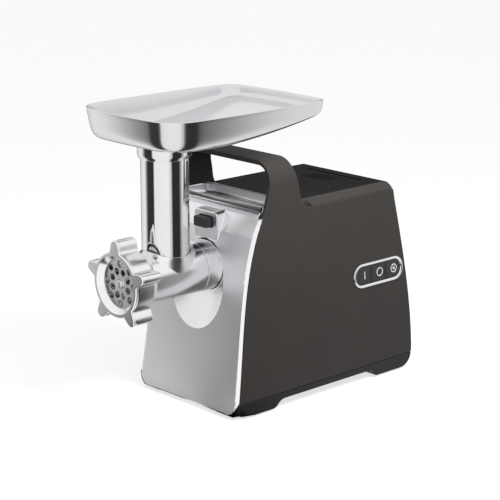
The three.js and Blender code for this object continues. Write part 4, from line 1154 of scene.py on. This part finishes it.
def tray_neck():
    inner = tube_high.x + GAP
    low, high, radius = neck_low.z, neck_high.z, neck_high.x
    profile = rounded([(inner, low), (25.6, low, 0.4), (radius, low + 3.5, 1), (radius, high),
                       (inner, high)], 0.3)
    finish(lathe(profile, "Z", (0, TUBE_Y), 160), "neck", "tray", MIRROR, "tray_neck")


tray()
tray_neck()


# -------------------- pieces that stay as in the CAD
def inner_pieces():
    """The machine's inner parts keep their CAD shape, with softened edges and own materials."""
    looks = {slot: material for material, slot in SLOTS.items()}
    for part in frame["record"]["subparts"]:
        node = frame["nodes"][part["node"]]
        if node.hide_render:
            continue
        for i in range(max(1, len(node.material_slots))):
            if not node.material_slots:
                node.data.materials.append(None)
            node.material_slots[i].material = looks[part["material_slot"]]
        edge = node.modifiers.new("edges", "BEVEL")
        edge.width = 0.12 * MM
        edge.segments = 1
        edge.limit_method = "ANGLE"
        edge.angle_limit = radians(35)


inner_pieces()


# -------------------- studio
# where the photo's camera stood, in metres, and where it looked
EYE = Vector((1.2211, -1.1271, 0.5874))
AZIMUTH = radians(47.18)
ELEVATION = radians(14.79)
LENS = 118.54  # on a sensor 36 mm wide
TENT_R, TENT_TOP, TENT_CLOTH = 900, 1100, 1  # millimetres
# brightness of the light tent round the object, by the angle from the camera's direction
# in degrees, right of the camera positive. Gaps between its cloths look dark
TENT = [(-180, 0.6), (-150, 0.7), (-112, 0.95), (-106, 0.95), (-94, 0.36), (-85, 0.04),
        (-52, 0.03), (-46, 0.95), (20, 1.0), (33, 0.6), (38, 0.03), (74, 0.03), (94, 0.85),
        (120, 0.9), (150, 0.7), (180, 0.6)]
DARK_BEHIND = 0.14  # a low screen behind the object, for the black top


def tent_cloth():
    """Cloth that glows by the tent's brightness."""
    made = bpy.data.materials.new("tent cloth")
    made.use_nodes = True
    tree = made.node_tree
    tree.nodes.remove(tree.nodes["Principled BSDF"])
    flat = add(tree, "SeparateXYZ", {0: add(tree, "TexCoord").outputs["Object"]})
    turn = add(tree, "Math", {0: flat.outputs["X"], 1: flat.outputs["Y"]}, operation="ARCTAN2")
    ramp = add(tree, "ValToRGB", {"Fac": ranged(tree, turn.outputs[0], -pi, pi)})
    stops = ramp.color_ramp.elements
    while len(stops) < len(TENT):
        stops.new(0.5)
    # the tent's own X axis points to the left of the camera
    for stop, (angle, bright) in zip(stops, reversed(TENT)):
        stop.position = (180 - angle) / 360
        stop.color = (bright, bright, bright, 1)
    # above the object the cloth is white all round, but for the low screen behind it
    height = flat.outputs["Z"]
    white = ranged(tree, height, 0.18, 0.38)
    sides = mix(tree, white, ramp.outputs[0], (0.93, 0.93, 0.93, 1))
    away = add(tree, "Math", {0: turn.outputs[0]}, operation="ABSOLUTE")
    behind = ranged(tree, away.outputs[0], radians(148), radians(160))
    below = ranged(tree, height, 0.5, 0.47)
    screen = add(tree, "Math", {0: behind, 1: below}, operation="MULTIPLY")
    color = mix(tree, screen.outputs[0], sides, (DARK_BEHIND, DARK_BEHIND, DARK_BEHIND, 1))
    glow = add(tree, "Emission", {"Color": color})
    tree.links.new(glow.outputs[0], tree.nodes["Material Output"].inputs["Surface"])
    return made


def tent():
    """A cloth tent with gaps that only polished metal sees."""
    half, inner_r, inner_top = TENT_CLOTH / 2, TENT_R - TENT_CLOTH, TENT_TOP - TENT_CLOTH
    profile = [(0.01, -half), (TENT_R, -half), (TENT_R, TENT_TOP), (0.01, TENT_TOP),
               (0.01, inner_top), (inner_r, inner_top), (inner_r, half), (0.01, half)]
    made = lathe(profile, "Z", (0, 0))
    # its own Y axis looks at the camera, so that the light's angles start there
    made.matrix_world = Matrix.Translation((0, TUBE_Y * MM, -0.001)) @ Matrix.Rotation(
        AZIMUTH + pi, 4, "Z")
    made.name = "light_tent"
    made.data.materials.append(tent_cloth())
    made.visible_camera = False
    made.visible_diffuse = False
    made.visible_shadow = False
    made.visible_transmission = False


def camera():
    """The camera where the photo was taken from."""
    view = Vector((-sin(AZIMUTH) * cos(ELEVATION),
                   cos(AZIMUTH) * cos(ELEVATION), -sin(ELEVATION)))
    made = bpy.data.objects.new("camera", bpy.data.cameras.new("camera"))
    made.location = EYE
    made.rotation_euler = view.to_track_quat("-Z", "Y").to_euler()
    made.data.lens = LENS
    scene.collection.objects.link(made)
    scene.camera = made


def pale_floor():
    """A wide pale floor that fades into the backdrop."""
    mesh = bpy.data.meshes.new("floor")
    work = bmesh.new()
    bmesh.ops.create_circle(work, cap_ends=True, segments=96, radius=12)
    work.to_mesh(mesh)
    work.free()
    made = bpy.data.objects.new("floor", mesh)
    mesh.materials.append(look("pale floor", (196, 196, 195), (0.7, 0.8), grain=(2, 0.001),
                               vary=0.004, Specular_IOR_Level=0.1,
                               Emission_Color=(1, 1, 1, 1), Emission_Strength=0.7))
    made.visible_glossy = False
    made.visible_diffuse = False
    scene.collection.objects.link(made)


def soft_light():
    """A dim world that is brighter above, and one soft light from the right."""
    world = scene.world or bpy.data.worlds.new("studio")
    scene.world = world
    world.use_nodes = True
    tree = world.node_tree
    up = add(tree, "SeparateXYZ", {0: add(tree, "TexCoord").outputs["Generated"]})
    bright = ranged(tree, up.outputs["Z"], -0.25, 0.25, 0.1, 0.45)
    tree.links.new(bright, tree.nodes["Background"].inputs["Strength"])
    tree.nodes["Background"].inputs["Color"].default_value = (1, 1, 1, 1)

    key = bpy.data.objects.new("key", bpy.data.lights.new("key", "AREA"))
    key.data.size = 0.4
    key.data.energy = 5.5
    key.location = (0.5, 0.0, 0.68)
    key.rotation_euler = (-key.location).to_track_quat("-Z", "Y").to_euler()
    key.visible_glossy = False
    scene.collection.objects.link(key)


scene.view_settings.view_transform = "Standard"
tent()
camera()
pale_floor()
soft_light()
